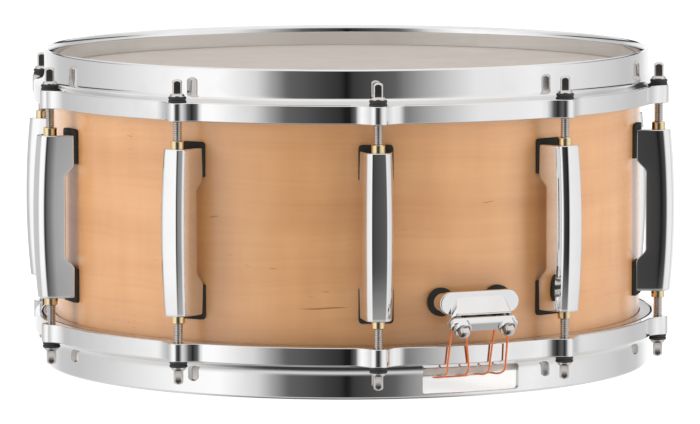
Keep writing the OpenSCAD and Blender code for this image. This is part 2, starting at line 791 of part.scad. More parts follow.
shell();
vent_grommet();
batter_head_film();
batter_head_hoop();
snare_head_film();
snare_head_hoop();
batter_hoop();
snare_hoop();
batter_rod_washers();
snare_rod_washers();
lug_gaskets();
swivel_nuts();
mounting_screws();
mounting_washers();
butt_base();
butt_gaskets();
butt_clamp_plate();
butt_clamp_screws();
butt_cords();
snare_wires();
snare_end_plates();
strainer_base();
strainer_gasket();
strainer_carriage();
strainer_clamp_plate();
strainer_clamp_screws();
strainer_lever();
strainer_lever_pin();
strainer_knob();
strainer_cords();
for (i = [1:lug_count]) lug(i);
for (i = [1:lug_count]) batter_rod(i);
for (i = [1:lug_count]) snare_rod(i);
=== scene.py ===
"""Looks of a wooden snare drum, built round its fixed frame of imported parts."""

from __future__ import annotations

import json
import logging
import math
import random
from dataclasses import dataclass, field
from enum import Enum
from typing import Callable, ClassVar, Iterable, Sequence

import bmesh
import bpy
import numpy as np
from mathutils import Matrix, Vector
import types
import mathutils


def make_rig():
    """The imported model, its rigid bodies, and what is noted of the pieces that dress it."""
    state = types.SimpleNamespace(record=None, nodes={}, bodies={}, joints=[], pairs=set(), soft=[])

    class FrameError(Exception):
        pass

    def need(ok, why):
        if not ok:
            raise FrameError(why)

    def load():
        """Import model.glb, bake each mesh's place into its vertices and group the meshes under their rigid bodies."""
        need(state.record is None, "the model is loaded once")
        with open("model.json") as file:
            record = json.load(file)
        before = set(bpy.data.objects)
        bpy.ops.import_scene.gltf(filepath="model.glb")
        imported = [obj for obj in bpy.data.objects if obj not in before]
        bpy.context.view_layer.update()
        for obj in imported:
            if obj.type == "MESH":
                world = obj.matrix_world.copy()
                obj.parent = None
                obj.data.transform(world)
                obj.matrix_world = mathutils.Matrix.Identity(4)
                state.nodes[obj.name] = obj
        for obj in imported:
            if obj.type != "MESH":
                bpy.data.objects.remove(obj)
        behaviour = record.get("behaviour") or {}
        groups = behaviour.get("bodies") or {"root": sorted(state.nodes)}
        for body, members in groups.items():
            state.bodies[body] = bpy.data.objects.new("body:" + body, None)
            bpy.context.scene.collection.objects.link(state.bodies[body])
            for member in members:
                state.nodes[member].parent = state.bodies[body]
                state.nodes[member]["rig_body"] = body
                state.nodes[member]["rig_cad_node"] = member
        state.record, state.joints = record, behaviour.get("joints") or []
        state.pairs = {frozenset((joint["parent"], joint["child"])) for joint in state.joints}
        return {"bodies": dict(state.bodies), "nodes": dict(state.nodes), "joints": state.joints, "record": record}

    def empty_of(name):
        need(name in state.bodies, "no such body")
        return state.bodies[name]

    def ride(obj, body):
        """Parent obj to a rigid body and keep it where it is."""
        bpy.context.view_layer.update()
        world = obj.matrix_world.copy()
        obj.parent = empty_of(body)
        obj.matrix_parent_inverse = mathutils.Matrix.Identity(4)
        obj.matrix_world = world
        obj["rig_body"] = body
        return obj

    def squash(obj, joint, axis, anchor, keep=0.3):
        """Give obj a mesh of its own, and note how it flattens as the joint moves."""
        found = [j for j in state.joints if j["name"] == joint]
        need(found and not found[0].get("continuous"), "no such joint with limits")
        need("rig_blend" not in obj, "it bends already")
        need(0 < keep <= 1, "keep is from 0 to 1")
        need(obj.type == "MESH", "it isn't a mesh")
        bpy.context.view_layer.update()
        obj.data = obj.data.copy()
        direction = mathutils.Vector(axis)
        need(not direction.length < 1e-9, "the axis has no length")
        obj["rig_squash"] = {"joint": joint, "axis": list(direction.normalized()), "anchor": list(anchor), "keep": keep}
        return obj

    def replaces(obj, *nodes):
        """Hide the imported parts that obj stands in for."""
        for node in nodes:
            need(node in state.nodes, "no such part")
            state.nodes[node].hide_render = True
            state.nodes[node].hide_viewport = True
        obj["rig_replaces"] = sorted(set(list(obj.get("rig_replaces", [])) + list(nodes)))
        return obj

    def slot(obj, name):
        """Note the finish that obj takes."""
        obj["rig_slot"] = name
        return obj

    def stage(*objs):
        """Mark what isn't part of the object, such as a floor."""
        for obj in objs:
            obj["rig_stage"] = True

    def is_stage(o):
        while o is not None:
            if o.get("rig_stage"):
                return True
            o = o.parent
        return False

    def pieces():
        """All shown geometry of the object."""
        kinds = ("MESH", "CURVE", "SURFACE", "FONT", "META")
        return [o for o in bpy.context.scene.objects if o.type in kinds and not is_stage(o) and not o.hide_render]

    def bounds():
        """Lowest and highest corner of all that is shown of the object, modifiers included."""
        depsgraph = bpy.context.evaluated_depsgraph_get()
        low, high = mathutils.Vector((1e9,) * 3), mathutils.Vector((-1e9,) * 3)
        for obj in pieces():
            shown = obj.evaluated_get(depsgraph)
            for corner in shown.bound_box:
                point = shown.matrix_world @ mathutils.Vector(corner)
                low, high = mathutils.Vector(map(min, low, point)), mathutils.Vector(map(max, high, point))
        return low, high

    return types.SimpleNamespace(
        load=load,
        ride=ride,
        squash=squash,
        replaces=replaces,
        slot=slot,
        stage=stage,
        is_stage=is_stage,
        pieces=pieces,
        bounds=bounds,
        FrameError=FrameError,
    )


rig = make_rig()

LOG = logging.getLogger("snare_drum")
MM = 0.001
SIZE_FILE = "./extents.json"
TOTAL_HEIGHT = 190.8
LUG_COUNT = 10
ROD_RADIUS = 191.7
Colour = tuple[float, float, float]
Point = tuple[float, float, float]
Flat = tuple[float, float]


# ---------------------------------------------------------------- shapes


@dataclass
class Shape:
    """A mesh in millimetres while it is being made."""

    verts: np.ndarray
    faces: list[tuple[int, ...]]

    def moved(self, matrix: Matrix) -> "Shape":
        """Returns this shape moved by a matrix in millimetres."""
        turn = np.array(matrix.to_3x3())
        return Shape(self.verts @ turn.T + np.array(matrix.translation), list(self.faces))

    def cut_smooth(self, width: float, steps: int = 2, angle: float = 30.0) -> "Shape":
        """Rounds every edge that is sharper than an angle.

        Args:
            width: width of the rounding in millimetres.
            steps: segments across the rounding.
            angle: smallest angle between two faces, in degrees, that is rounded.

        Returns:
            The rounded shape.
        """
        bm = self.to_bmesh()
        bmesh.ops.dissolve_limit(bm, angle_limit=math.radians(1), verts=bm.verts, edges=bm.edges)
        sharp = [e for e in bm.edges if e.is_manifold and e.calc_face_angle(0) > math.radians(angle)]
        bmesh.ops.bevel(
            bm, geom=sharp, offset=width, segments=steps, profile=0.5, affect="EDGES", clamp_overlap=True
        )
        return Shape.from_bmesh(bm)

    def to_bmesh(self) -> bmesh.types.BMesh:
        """Returns a bmesh of this shape, with its normals outwards."""
        bm = bmesh.new()
        verts = [bm.verts.new(tuple(v)) for v in self.verts]
        for face in self.faces:
            bm.faces.new([verts[i] for i in face])
        bmesh.ops.recalc_face_normals(bm, faces=bm.faces)
        return bm

    @staticmethod
    def from_bmesh(bm: bmesh.types.BMesh) -> "Shape":
        """Returns the shape that a bmesh holds, and frees the bmesh."""
        bm.verts.index_update()
        verts = np.array([tuple(v.co) for v in bm.verts])
        faces = [tuple(v.index for v in f.verts) for f in bm.faces]
        bm.free()
        return Shape(verts, faces)

    @staticmethod
    def joined(shapes: Iterable["Shape"]) -> "Shape":
        """Returns one shape that holds several."""
        verts, faces, start = [], [], 0
        for shape in shapes:
            verts.append(shape.verts)
            faces += [tuple(i + start for i in f) for f in shape.faces]
            start += len(shape.verts)
        return Shape(np.concatenate(verts), faces)

    def to_mesh(self, name: str, smooth_deg: float = 40.0) -> bpy.types.Mesh:
        """Makes a Blender mesh in metres.

        Args:
            name: name of the mesh.
            smooth_deg: edges sharper than this stay sharp.

        Returns:
            The mesh.
        """
        mesh = bpy.data.meshes.new(name)
        mesh.from_pydata((self.verts * MM).tolist(), [], self.faces)
        bm = bmesh.new()
        bm.from_mesh(mesh)
        bmesh.ops.recalc_face_normals(bm, faces=bm.faces)
        bm.to_mesh(mesh)
        bm.free()
        mesh.shade_smooth()
        mesh.set_sharp_from_angle(angle=math.radians(smooth_deg))
        return mesh


def revolve(profile: Sequence[Flat], segments: int = 48, closed: bool = True) -> Shape:
    """Turns a half section about the z axis.

    Args:
        profile: points of (radius, height); a radius of 0 makes a pole.
        segments: segments round the turn.
        closed: whether the last point joins the first.

    Returns:
        The turned shape.
    """
    verts: list[Point] = []
    rings: list[list[int]] = []
    for r, z in profile:
        count = 1 if r <= 1e-9 else segments
        rings.append(list(range(len(verts), len(verts) + count)))
        for k in range(count):
            a = 2 * math.pi * k / segments
            verts.append((r * math.cos(a), r * math.sin(a), z))
    faces: list[tuple[int, ...]] = []
    pairs = zip(rings, rings[1:] + ([rings[0]] if closed else []))
    for low, high in pairs:
        if len(low) == 1 and len(high) == 1:
            continue
        for k in range(segments):
            m = (k + 1) % segments
            corners = [low[k % len(low)], low[m % len(low)], high[m % len(high)], high[k % len(high)]]
            faces.append(tuple(dict.fromkeys(corners)))
    return Shape(np.array(verts), faces)


def loft(rings: Sequence[Sequence[Point]], capped: bool = True) -> Shape:
    """Joins closed rings of equal length into a skin.

    Args:
        rings: the rings, from one end to the other.
        capped: whether a face closes each end.

    Returns:
        The skin.
    """
    count = len(rings[0])
    verts = np.array([p for ring in rings for p in ring], float)
    faces: list[tuple[int, ...]] = []
    for i in range(len(rings) - 1):
        for k in range(count):
            m = (k + 1) % count
            faces.append((i * count + k, i * count + m, (i + 1) * count + m, (i + 1) * count + k))
    if capped:
        last = (len(rings) - 1) * count
        faces.append(tuple(reversed(range(count))))
        faces.append(tuple(range(last, last + count)))
    return Shape(verts, faces)


def hull(points: Sequence[Point]) -> Shape:
    """Returns the convex solid round some points."""
    bm = bmesh.new()
    for p in points:
        bm.verts.new(p)
    bmesh.ops.convex_hull(bm, input=bm.verts)
    loose = [v for v in bm.verts if not v.link_faces]
    bmesh.ops.delete(bm, geom=loose, context="VERTS")
    return Shape.from_bmesh(bm)


def rounded_outline(points: Sequence[Flat], radii: Sequence[float], steps: int = 4) -> list[Flat]:
    """Rounds the corners of a closed outline.

    Args:
        points: the corners.
        radii: how far each rounding reaches along its sides.
        steps: segments in each rounding.

    Returns:
        The outline, with the same number of points for every choice of sizes.
    """
    out: list[Flat] = []
    for i, (p, radius) in enumerate(zip(points, radii)):
        here = Vector(p)
        before, after = Vector(points[i - 1]), Vector(points[(i + 1) % len(points)])
        start = here + (before - here).normalized() * radius
        end = here + (after - here).normalized() * radius
        for k in range(steps + 1):
            t = k / steps
            q = start * (1 - t) ** 2 + here * 2 * t * (1 - t) + end * t * t
            out.append((q.x, q.y))
    return out


def stadium(width: float, height: float, steps: int = 12) -> list[Flat]:
    """Returns the outline of a bar with round ends, centred on the origin."""
    r, half = height / 2, (width - height) / 2
    right = [(half + r * math.sin(a), -r * math.cos(a)) for a in np.linspace(0, math.pi, steps)]
    return right + [(-x, -y) for x, y in right]


def pillow(outline: Callable[[float], Sequence[Flat]], depth: float, edge: float, steps: int = 4) -> Shape:
    """Extrudes an outline along z with rounded front and back edges.

    Args:
        outline: gives the outline drawn in by a distance.
        depth: the extrusion's length.
        edge: radius of the rounding.
        steps: segments in each rounding.

    Returns:
        The solid, from z = 0 to depth.
    """
    low = []
    for k in range(steps, -1, -1):
        a = math.pi / 2 * k / steps
        z = edge * (1 - math.sin(a))
        low.append([(x, y, z) for x, y in outline(edge * (1 - math.cos(a)))])
    high = [[(x, y, depth - z) for x, y, z in ring] for ring in reversed(low)]
    return loft(low + high)


def prism(side: Sequence[Flat], width: float, edge: float = 0.6, middle: float = 0.0) -> Shape:
    """Extrudes a side view across the drum and rounds its edges.

    Args:
        side: points of (distance out of the shell, height).
        width: how wide the solid is across the drum.
        edge: width of the rounding.
        middle: how far across its middle stands.

    Returns:
        The solid at the butt side.
    """
    radius = Shell.radius
    rings = [[(middle + s * width / 2, -radius - out, z) for out, z in side] for s in (-1, 1)]
    return loft(rings).cut_smooth(edge)


def tube(path: np.ndarray, radius: float, sides: int = 10) -> Shape:
    """Sweeps a round section along a path.

    Args:
        path: the points of the middle line.
        radius: the section's radius.
        sides: points round the section.

    Returns:
        The solid.
    """
    count = len(path)
    rings = []
    normal = Vector((1, 0.1, 0))
    for i in range(count):
        along = Vector(path[min(i + 1, count - 1)] - path[max(i - 1, 0)]).normalized()
        normal = (normal - along * normal.dot(along)).normalized()
        other = along.cross(normal)
        angles = [2 * math.pi * k / sides for k in range(sides)]
        rings.append(
            [tuple(Vector(path[i]) + radius * (math.cos(a) * normal + math.sin(a) * other)) for a in angles]
        )
    return loft(rings)


def smooth_path(points: Sequence[Point], steps: int) -> np.ndarray:
    """Draws a smooth curve through some points.

    Args:
        points: the points.
        steps: steps between each two of them.

    Returns:
        The points of the curve.
    """
    p = np.array([points[0], *points, points[-1]], float)
    out = []
    for i in range(1, len(p) - 2):
        for t in np.linspace(0, 1, steps, endpoint=False):
            a, b, c, d = p[i - 1 : i + 3]
            out.append(
                0.5 * (
                    2 * b + (c - a) * t + (2 * a - 5 * b + 4 * c - d) * t**2 + (3 * b - a - 3 * c + d) * t**3
                )
            )
    return np.array(out + [p[-1]])


def at_angle(degrees: float) -> Matrix:
    """Returns the turn that takes a place at the butt side to an angle round the drum."""
    return Matrix.Rotation(math.radians(degrees), 4, "Z")


def lug_angle(i: int) -> float:
    """Returns the angle of a lug and its rods from the butt side, in degrees."""
    return (i + 0.5) * 360 / LUG_COUNT


def facing_out(across: float, out: float, z: float) -> Matrix:
    """Returns the place whose z points out of the shell at the butt side, with x across and y up."""
    return Matrix.Translation((across, -Shell.radius - out, z)) @ Matrix.Rotation(math.radians(90), 4, "X")


# ---------------------------------------------------------------- shader nodes


class Canvas:
    """A node tree, with short ways to add the nodes that this drum's finishes use."""

    def __init__(self, tree: bpy.types.NodeTree) -> None:
        """Takes the tree to draw in."""
        self.tree = tree

    def add(self, kind: str, **settings: object) -> bpy.types.Node:
        """Adds a node and sets its properties."""
        node = self.tree.nodes.new(kind)
        for name, value in settings.items():
            setattr(node, name, value)
        return node

    def join(self, source: object, target: bpy.types.NodeSocket) -> None:
        """Links an output to an input, or sets the input to a plain value."""
        if isinstance(source, bpy.types.NodeSocket):
            self.tree.links.new(source, target)
        else:
            target.default_value = source

    def math(self, operation: str, *values: object, clamp: bool = False) -> bpy.types.NodeSocket:
        """Adds a Math node and returns its result."""
        node = self.add("ShaderNodeMath", operation=operation, use_clamp=clamp)
        for value, socket in zip(values, node.inputs):
            self.join(value, socket)
        return node.outputs[0]

    def vector(self, x: object, y: object, z: object) -> bpy.types.NodeSocket:
        """Combines three values into a vector."""
        node = self.add("ShaderNodeCombineXYZ")
        for value, socket in zip((x, y, z), node.inputs):
            self.join(value, socket)
        return node.outputs[0]

    def noise(
        self, where: object, scale: float, detail: float = 3.0, roughness: float = 0.5
    ) -> bpy.types.NodeSocket:
        """Adds a noise texture and returns its factor."""
        node = self.add("ShaderNodeTexNoise")
        self.join(where, node.inputs["Vector"])
        for name, value in (("Scale", scale), ("Detail", detail), ("Roughness", roughness)):
            self.join(value, node.inputs[name])
        return node.outputs[0]

    def band(
        self, value: object, low: float, high: float, to_low: float = 0.0, to_high: float = 1.0
    ) -> bpy.types.NodeSocket:
        """Maps a value from one range to another, smoothly and within its ends."""
        node = self.add("ShaderNodeMapRange", interpolation_type="SMOOTHSTEP")
        for source, socket in zip((value, low, high, to_low, to_high), node.inputs):
            self.join(source, socket)
        return node.outputs[0]

    def mix(self, factor: object, a: object, b: object) -> bpy.types.NodeSocket:
        """Mixes two colours."""
        node = self.add("ShaderNodeMix", data_type="RGBA")
        for source, socket in ((factor, node.inputs[0]), (a, node.inputs[6]), (b, node.inputs[7])):
            self.join((*source, 1.0) if isinstance(source, tuple) else source, socket)
        return node.outputs[2]

    def bump(self, height: object, distance: float, strength: float = 1.0) -> bpy.types.NodeSocket:
        """Adds a bump of a real height in metres and returns its normal."""
        node = self.add("ShaderNodeBump")
        self.join(height, node.inputs["Height"])
        node.inputs["Distance"].default_value = distance
        node.inputs["Strength"].default_value = strength
        return node.outputs[0]

    def place(self) -> bpy.types.NodeSocket:
        """Returns the surface's own coordinates in metres."""
        return self.add("ShaderNodeTexCoord").outputs["Object"]

    def group(self, name: str, **inputs: object) -> bpy.types.Node:
        """Places a group that has been built, with its input values."""
        node = self.add("ShaderNodeGroup", node_tree=bpy.data.node_groups[name])
        for key, value in inputs.items():
            self.join(value, node.inputs[key.replace("_", " ")])
        return node


class Effects:
    """The effects that several finishes share, each built once as a node group."""

    FLOAT, COLOUR, VECTOR = "NodeSocketFloat", "NodeSocketColor", "NodeSocketVector"

    def build(self) -> None:
        """Builds every group."""
        self.round_drum()
        self.maple_figure()
        self.polish()
        self.speckle()

    def start(
        self, name: str, inputs: dict[str, float], outputs: dict[str, str]
    ) -> tuple[Canvas, dict, dict]:
        """Starts a group.

        Args:
            name: the group's name.
            inputs: input names, each with its default value.
            outputs: output names, each with its socket type.

        Returns:
            The canvas, the sockets that the inputs arrive on, and the sockets that the outputs leave by.
        """
        tree = bpy.data.node_groups.new(name, "ShaderNodeTree")
        for key, value in inputs.items():
            tree.interface.new_socket(name=key, in_out="INPUT", socket_type=self.FLOAT).default_value = value
        for key, kind in outputs.items():
            tree.interface.new_socket(name=key, in_out="OUTPUT", socket_type=kind)
        canvas = Canvas(tree)
        arrive, leave = canvas.add("NodeGroupInput"), canvas.add("NodeGroupOutput")
        return canvas, {k: arrive.outputs[k] for k in inputs}, {k: leave.inputs[k] for k in outputs}

    def round_drum(self) -> None:
        """Where a point is on the drum: the way round it, its height and its radius, all in metres."""
        c, _, out = self.start(
            "round_drum", {}, {"Around": self.FLOAT, "Height": self.FLOAT, "Radius": self.FLOAT}
        )
        xyz = c.add("ShaderNodeSeparateXYZ")
        c.join(c.place(), xyz.inputs[0])
        x, y, z = xyz.outputs
        angle = c.math("ARCTAN2", x, c.math("MULTIPLY", y, -1.0))
        c.join(c.math("MULTIPLY", angle, Shell.radius * MM), out["Around"])
        c.join(z, out["Height"])
        c.join(
            c.math("SQRT", c.math("ADD", c.math("MULTIPLY", x, x), c.math("MULTIPLY", y, y))), out["Radius"]
        )

    def maple_figure(self) -> None:
        """Maple: fine lines along the grain, a soft figure across it, and small mineral flecks."""
        c, into, out = self.start(
            "maple_figure",
            {"Figure": 1.0, "Flecks": 1.0},
            {"Tone": self.FLOAT, "Fleck": self.FLOAT, "Height": self.FLOAT},
        )
        spot = c.group("round_drum")
        around, height = spot.outputs["Around"], spot.outputs["Height"]
        drift = c.noise(
            c.vector(c.math("MULTIPLY", around, 6.0), c.math("MULTIPLY", height, 10.0), 0.0), 1.0, 2.0
        )
        bent = c.math("ADD", height, c.math("MULTIPLY", drift, 0.02))
        lines = c.noise(
            c.vector(c.math("MULTIPLY", around, 9.0), c.math("MULTIPLY", bent, 420.0), 0.0), 1.0, 4.0, 0.6
        )
        broad = c.noise(
            c.vector(c.math("MULTIPLY", around, 4.0), c.math("MULTIPLY", bent, 46.0), 3.0), 1.0, 3.0, 0.55
        )
        ripple = c.noise(
            c.vector(c.math("MULTIPLY", around, 60.0), c.math("MULTIPLY", height, 14.0), 7.0), 1.0, 2.0
        )
        tone = c.math("MULTIPLY", c.math("SUBTRACT", lines, 0.5), 0.30)
        tone = c.math("ADD", tone, c.math("MULTIPLY", c.math("SUBTRACT", broad, 0.5), 0.9))
        curl = c.math("MULTIPLY", c.math("SUBTRACT", ripple, 0.5), 0.5)
        tone = c.math("ADD", c.math("MULTIPLY", c.math("ADD", tone, curl), into["Figure"]), 0.5, clamp=True)
        c.join(tone, out["Tone"])
        specks = c.noise(
            c.vector(c.math("MULTIPLY", around, 110.0), c.math("MULTIPLY", height, 700.0), 1.0), 1.0, 1.0
        )
        rare = c.noise(
            c.vector(c.math("MULTIPLY", around, 16.0), c.math("MULTIPLY", height, 60.0), 5.0), 1.0, 0.0
        )
        fleck = c.math("MULTIPLY", c.band(specks, 0.66, 0.80, 0.0, 0.6), c.band(rare, 0.60, 0.72))
        c.join(c.math("MULTIPLY", fleck, into["Flecks"]), out["Fleck"])
        c.join(c.math("SUBTRACT", lines, c.math("MULTIPLY", fleck, 0.5)), out["Height"])

    def polish(self) -> None:
        """A polished metal's faint haze and hairline scratches."""
        c, into, out = self.start(
            "polish", {"Haze": 0.03, "Base": 0.05}, {"Roughness": self.FLOAT, "Height": self.FLOAT}
        )
        where = c.place()
        cloud = c.noise(where, 45.0, 4.0, 0.6)
        xyz = c.add("ShaderNodeSeparateXYZ")
        c.join(where, xyz.inputs[0])
        stretched = c.vector(xyz.outputs[0], xyz.outputs[1], c.math("MULTIPLY", xyz.outputs[2], 14.0))
        hair = c.band(c.noise(stretched, 900.0, 2.0, 0.6), 0.62, 0.72)
        smear = c.math(
            "MULTIPLY", c.math("ADD", c.band(cloud, 0.4, 0.75), c.math("MULTIPLY", hair, 0.7)), into["Haze"]
        )
        c.join(c.math("ADD", smear, into["Base"]), out["Roughness"])
        c.join(c.math("SUBTRACT", cloud, c.math("MULTIPLY", hair, 0.02)), out["Height"])

    def speckle(self) -> None:
        """A fine grit, as on a sprayed coating, moulded nylon or rubber."""
        c, into, out = self.start("speckle", {"Scale": 900.0}, {"Height": self.FLOAT, "Mask": self.FLOAT})
        where = c.place()
        fine = c.noise(where, into["Scale"], 3.0, 0.65)
        c.join(fine, out["Height"])
        c.join(
            c.band(c.noise(where, c.math("MULTIPLY", into["Scale"], 0.03), 4.0, 0.6), 0.35, 0.7), out["Mask"]
        )


# ---------------------------------------------------------------- finishes


@dataclass(frozen=True)
class Finish:
    """What every finish has: a name and the record's material slot."""

    name: str
    slot: str

    def shader(self, canvas: Canvas, surface: bpy.types.Node) -> None:
        """Dresses the surface shader; each finish has its own way."""
        raise NotImplementedError

    def material(self) -> bpy.types.Material:
        """Returns this finish's material, made once."""
        if self.name in bpy.data.materials:
            return bpy.data.materials[self.name]
        material = bpy.data.materials.new(self.name)
        material.use_nodes = True
        self.shader(Canvas(material.node_tree), material.node_tree.nodes["Principled BSDF"])
        return material

    def dress(self, obj: bpy.types.Object) -> None:
        """Gives this finish to an object as its only material."""
        if len(obj.material_slots) == 0:
            obj.data.materials.append(None)
        for place in obj.material_slots:
            place.link = "OBJECT"
            place.material = self.material()


@dataclass(frozen=True)
class Metal(Finish):
    """Polished, plated or drawn metal."""

    colour: Colour = (0.80, 0.80, 0.81)
    tarnish: Colour = (0.72, 0.72, 0.73)
    base_roughness: float = 0.045
    haze: float = 0.035
    wave: float = 0.00001

    def shader(self, canvas: Canvas, surface: bpy.types.Node) -> None:
        """Metal with a faint haze, hairlines and a very slight waviness."""
        polish = canvas.group("polish", Haze=self.haze, Base=self.base_roughness)
        shade = canvas.band(canvas.noise(canvas.place(), 30.0, 5.0, 0.6), 0.45, 0.8)
        canvas.join(canvas.mix(shade, self.colour, self.tarnish), surface.inputs["Base Color"])
        surface.inputs["Metallic"].default_value = 1.0
        canvas.join(polish.outputs["Roughness"], surface.inputs["Roughness"])
        canvas.join(canvas.bump(polish.outputs["Height"], self.wave), surface.inputs["Normal"])


@dataclass(frozen=True)
class Wood(Finish):
    """Maple under a satin lacquer, or bare inside the shell."""

    light: Colour = (0.77, 0.41, 0.173)
    dark: Colour = (0.54, 0.232, 0.078)
    fleck: Colour = (0.26, 0.10, 0.035)
    figure: float = 1.0
    flecks: float = 1.0
    lacquer: float = 1.0
    plies: int = 0
    marks: tuple[tuple[float, float, float, float], ...] = ()

    def shader(self, canvas: Canvas, surface: bpy.types.Node) -> None:
        """Figure, flecks, single dark marks, and ply lines on the bearing edges."""
        grain = canvas.group("maple_figure", Figure=self.figure, Flecks=self.flecks)
        colour = canvas.mix(grain.outputs["Tone"], self.dark, self.light)
        colour = canvas.mix(grain.outputs["Fleck"], colour, self.fleck)
        spot = canvas.group("round_drum")
        for around, height, length, thick in self.marks:
            mark = self.mark(canvas, spot, around, height, length, thick)
            colour = canvas.mix(mark, colour, self.fleck)
        if self.plies:
            step = Shell.wall * MM / self.plies
            turn = canvas.math("DIVIDE", canvas.math("SUBTRACT", spot.outputs["Radius"], 0.1), step)
            line = canvas.band(canvas.math("PINGPONG", turn, 1.0), 0.0, 0.22, 0.75, 0.0)
            colour = canvas.mix(line, colour, self.dark)
        canvas.join(colour, surface.inputs["Base Color"])
        rough = canvas.band(grain.outputs["Tone"], 0.2, 0.8, 0.42, 0.34)
        canvas.join(rough, surface.inputs["Roughness"])
        canvas.join(canvas.bump(grain.outputs["Height"], 0.00004, 0.6), surface.inputs["Normal"])
        surface.inputs["Coat Weight"].default_value = self.lacquer
        surface.inputs["Coat Roughness"].default_value = 0.24
        surface.inputs["Coat IOR"].default_value = 1.6

    def mark(
        self, c: Canvas, spot: bpy.types.Node, around: float, height: float, length: float, thick: float
    ) -> bpy.types.NodeSocket:
        """Returns a mask over one dark mark.

        Args:
            c: the canvas.
            spot: the group that says where a point is.
            around: the mark's angle from the butt side, in degrees.
            height: its height in millimetres.
            length: its length in millimetres.
            thick: its thickness in millimetres.

        Returns:
            The mask.
        """
        middle = math.radians(around) * Shell.radius * MM
        x = c.math("DIVIDE", c.math("SUBTRACT", spot.outputs["Around"], middle), length * MM / 2)
        wobble = c.math("MULTIPLY", c.math("SINE", c.math("MULTIPLY", x, 2.4)), thick * MM * 0.8)
        y = c.math("SUBTRACT", c.math("SUBTRACT", spot.outputs["Height"], height * MM), wobble)
        y = c.math("DIVIDE", y, thick * MM)
        away = c.math("ADD", c.math("MULTIPLY", x, x), c.math("MULTIPLY", y, y))
        return c.band(away, 0.15, 1.2, 0.75, 0.0)


@dataclass(frozen=True)
class Moulded(Finish):
    """Black nylon or rubber, with grit and a little dust."""

    colour: Colour = (0.012, 0.011, 0.010)
    dust: Colour = (0.06, 0.055, 0.05)
    roughness: float = 0.45
    grit: float = 0.00002

    def shader(self, canvas: Canvas, surface: bpy.types.Node) -> None:
        """Fine grit, with patches of dust that are paler and duller."""
        grit = canvas.group("speckle", Scale=2200.0)
        patch = grit.outputs["Mask"]
        canvas.join(
            canvas.mix(canvas.math("MULTIPLY", patch, 0.35), self.colour, self.dust),
            surface.inputs["Base Color"]
        )
        canvas.join(
            canvas.band(patch, 0.0, 1.0, self.roughness, self.roughness + 0.2), surface.inputs["Roughness"]
        )
        canvas.join(canvas.bump(grit.outputs["Height"], self.grit), surface.inputs["Normal"])


@dataclass(frozen=True)
class Film(Finish):
    """A plastic head: sprayed white, or thin and clear."""

    colour: Colour = (0.78, 0.70, 0.63)
    stain: Colour = (0.74, 0.66, 0.59)
    roughness: float = 0.5
    opacity: float = 1.0
    grit: float = 0.00003

    def shader(self, canvas: Canvas, surface: bpy.types.Node) -> None:
        """A gritty coating, or a hazy clear film whose haze varies."""
        grit = canvas.group("speckle", Scale=1400.0)
        patch = grit.outputs["Mask"]
        canvas.join(
            canvas.mix(canvas.math("MULTIPLY", patch, 0.5), self.colour, self.stain),
            surface.inputs["Base Color"]
        )
        canvas.join(
            canvas.band(patch, 0.0, 1.0, self.roughness, self.roughness + 0.12), surface.inputs["Roughness"]
        )
        canvas.join(canvas.bump(grit.outputs["Height"], self.grit), surface.inputs["Normal"])
        if self.opacity < 1.0:
            haze = canvas.band(patch, 0.0, 1.0, self.opacity - 0.05, self.opacity + 0.08)
            canvas.join(haze, surface.inputs["Alpha"])


@dataclass(frozen=True)
class Braid(Finish):
    """A braided cord, whose two sets of yarns cross at a slant."""

    colour: Colour = (0.95, 0.25, 0.035)
    # colour of the painted shade in the dips between the yarns
    shade: Colour = (0.66, 0.125, 0.015)
    yarns: float = 5200.0

    def shader(self, canvas: Canvas, surface: bpy.types.Node) -> None:
        """Slanting yarns with fuzz, with painted shade where they dip under each other."""
        where = canvas.place()
        xyz = canvas.add("ShaderNodeSeparateXYZ")
        canvas.join(where, xyz.inputs[0])
        x, y, z = xyz.outputs
        along = canvas.math("ADD", z, canvas.math("MULTIPLY", y, 0.7))
        one = canvas.math("SINE", canvas.math("MULTIPLY", canvas.math("ADD", along, x), self.yarns))
        two = canvas.math("SINE", canvas.math("MULTIPLY", canvas.math("SUBTRACT", along, x), self.yarns))
        weave = canvas.band(canvas.math("MULTIPLY", one, two), -0.8, 0.9)
        fuzz = canvas.noise(where, 2500.0, 3.0)
        # painted shade: the cord takes its shade colour where the yarns dip under each other
        canvas.join(canvas.mix(weave, self.shade, self.colour), surface.inputs["Base Color"])
        canvas.join(canvas.band(fuzz, 0.3, 0.7, 0.55, 0.8), surface.inputs["Roughness"])
        height = canvas.math("ADD", weave, canvas.math("MULTIPLY", fuzz, 0.4))
        canvas.join(canvas.bump(height, 0.00012), surface.inputs["Normal"])
        surface.inputs["Sheen Weight"].default_value = 0.3


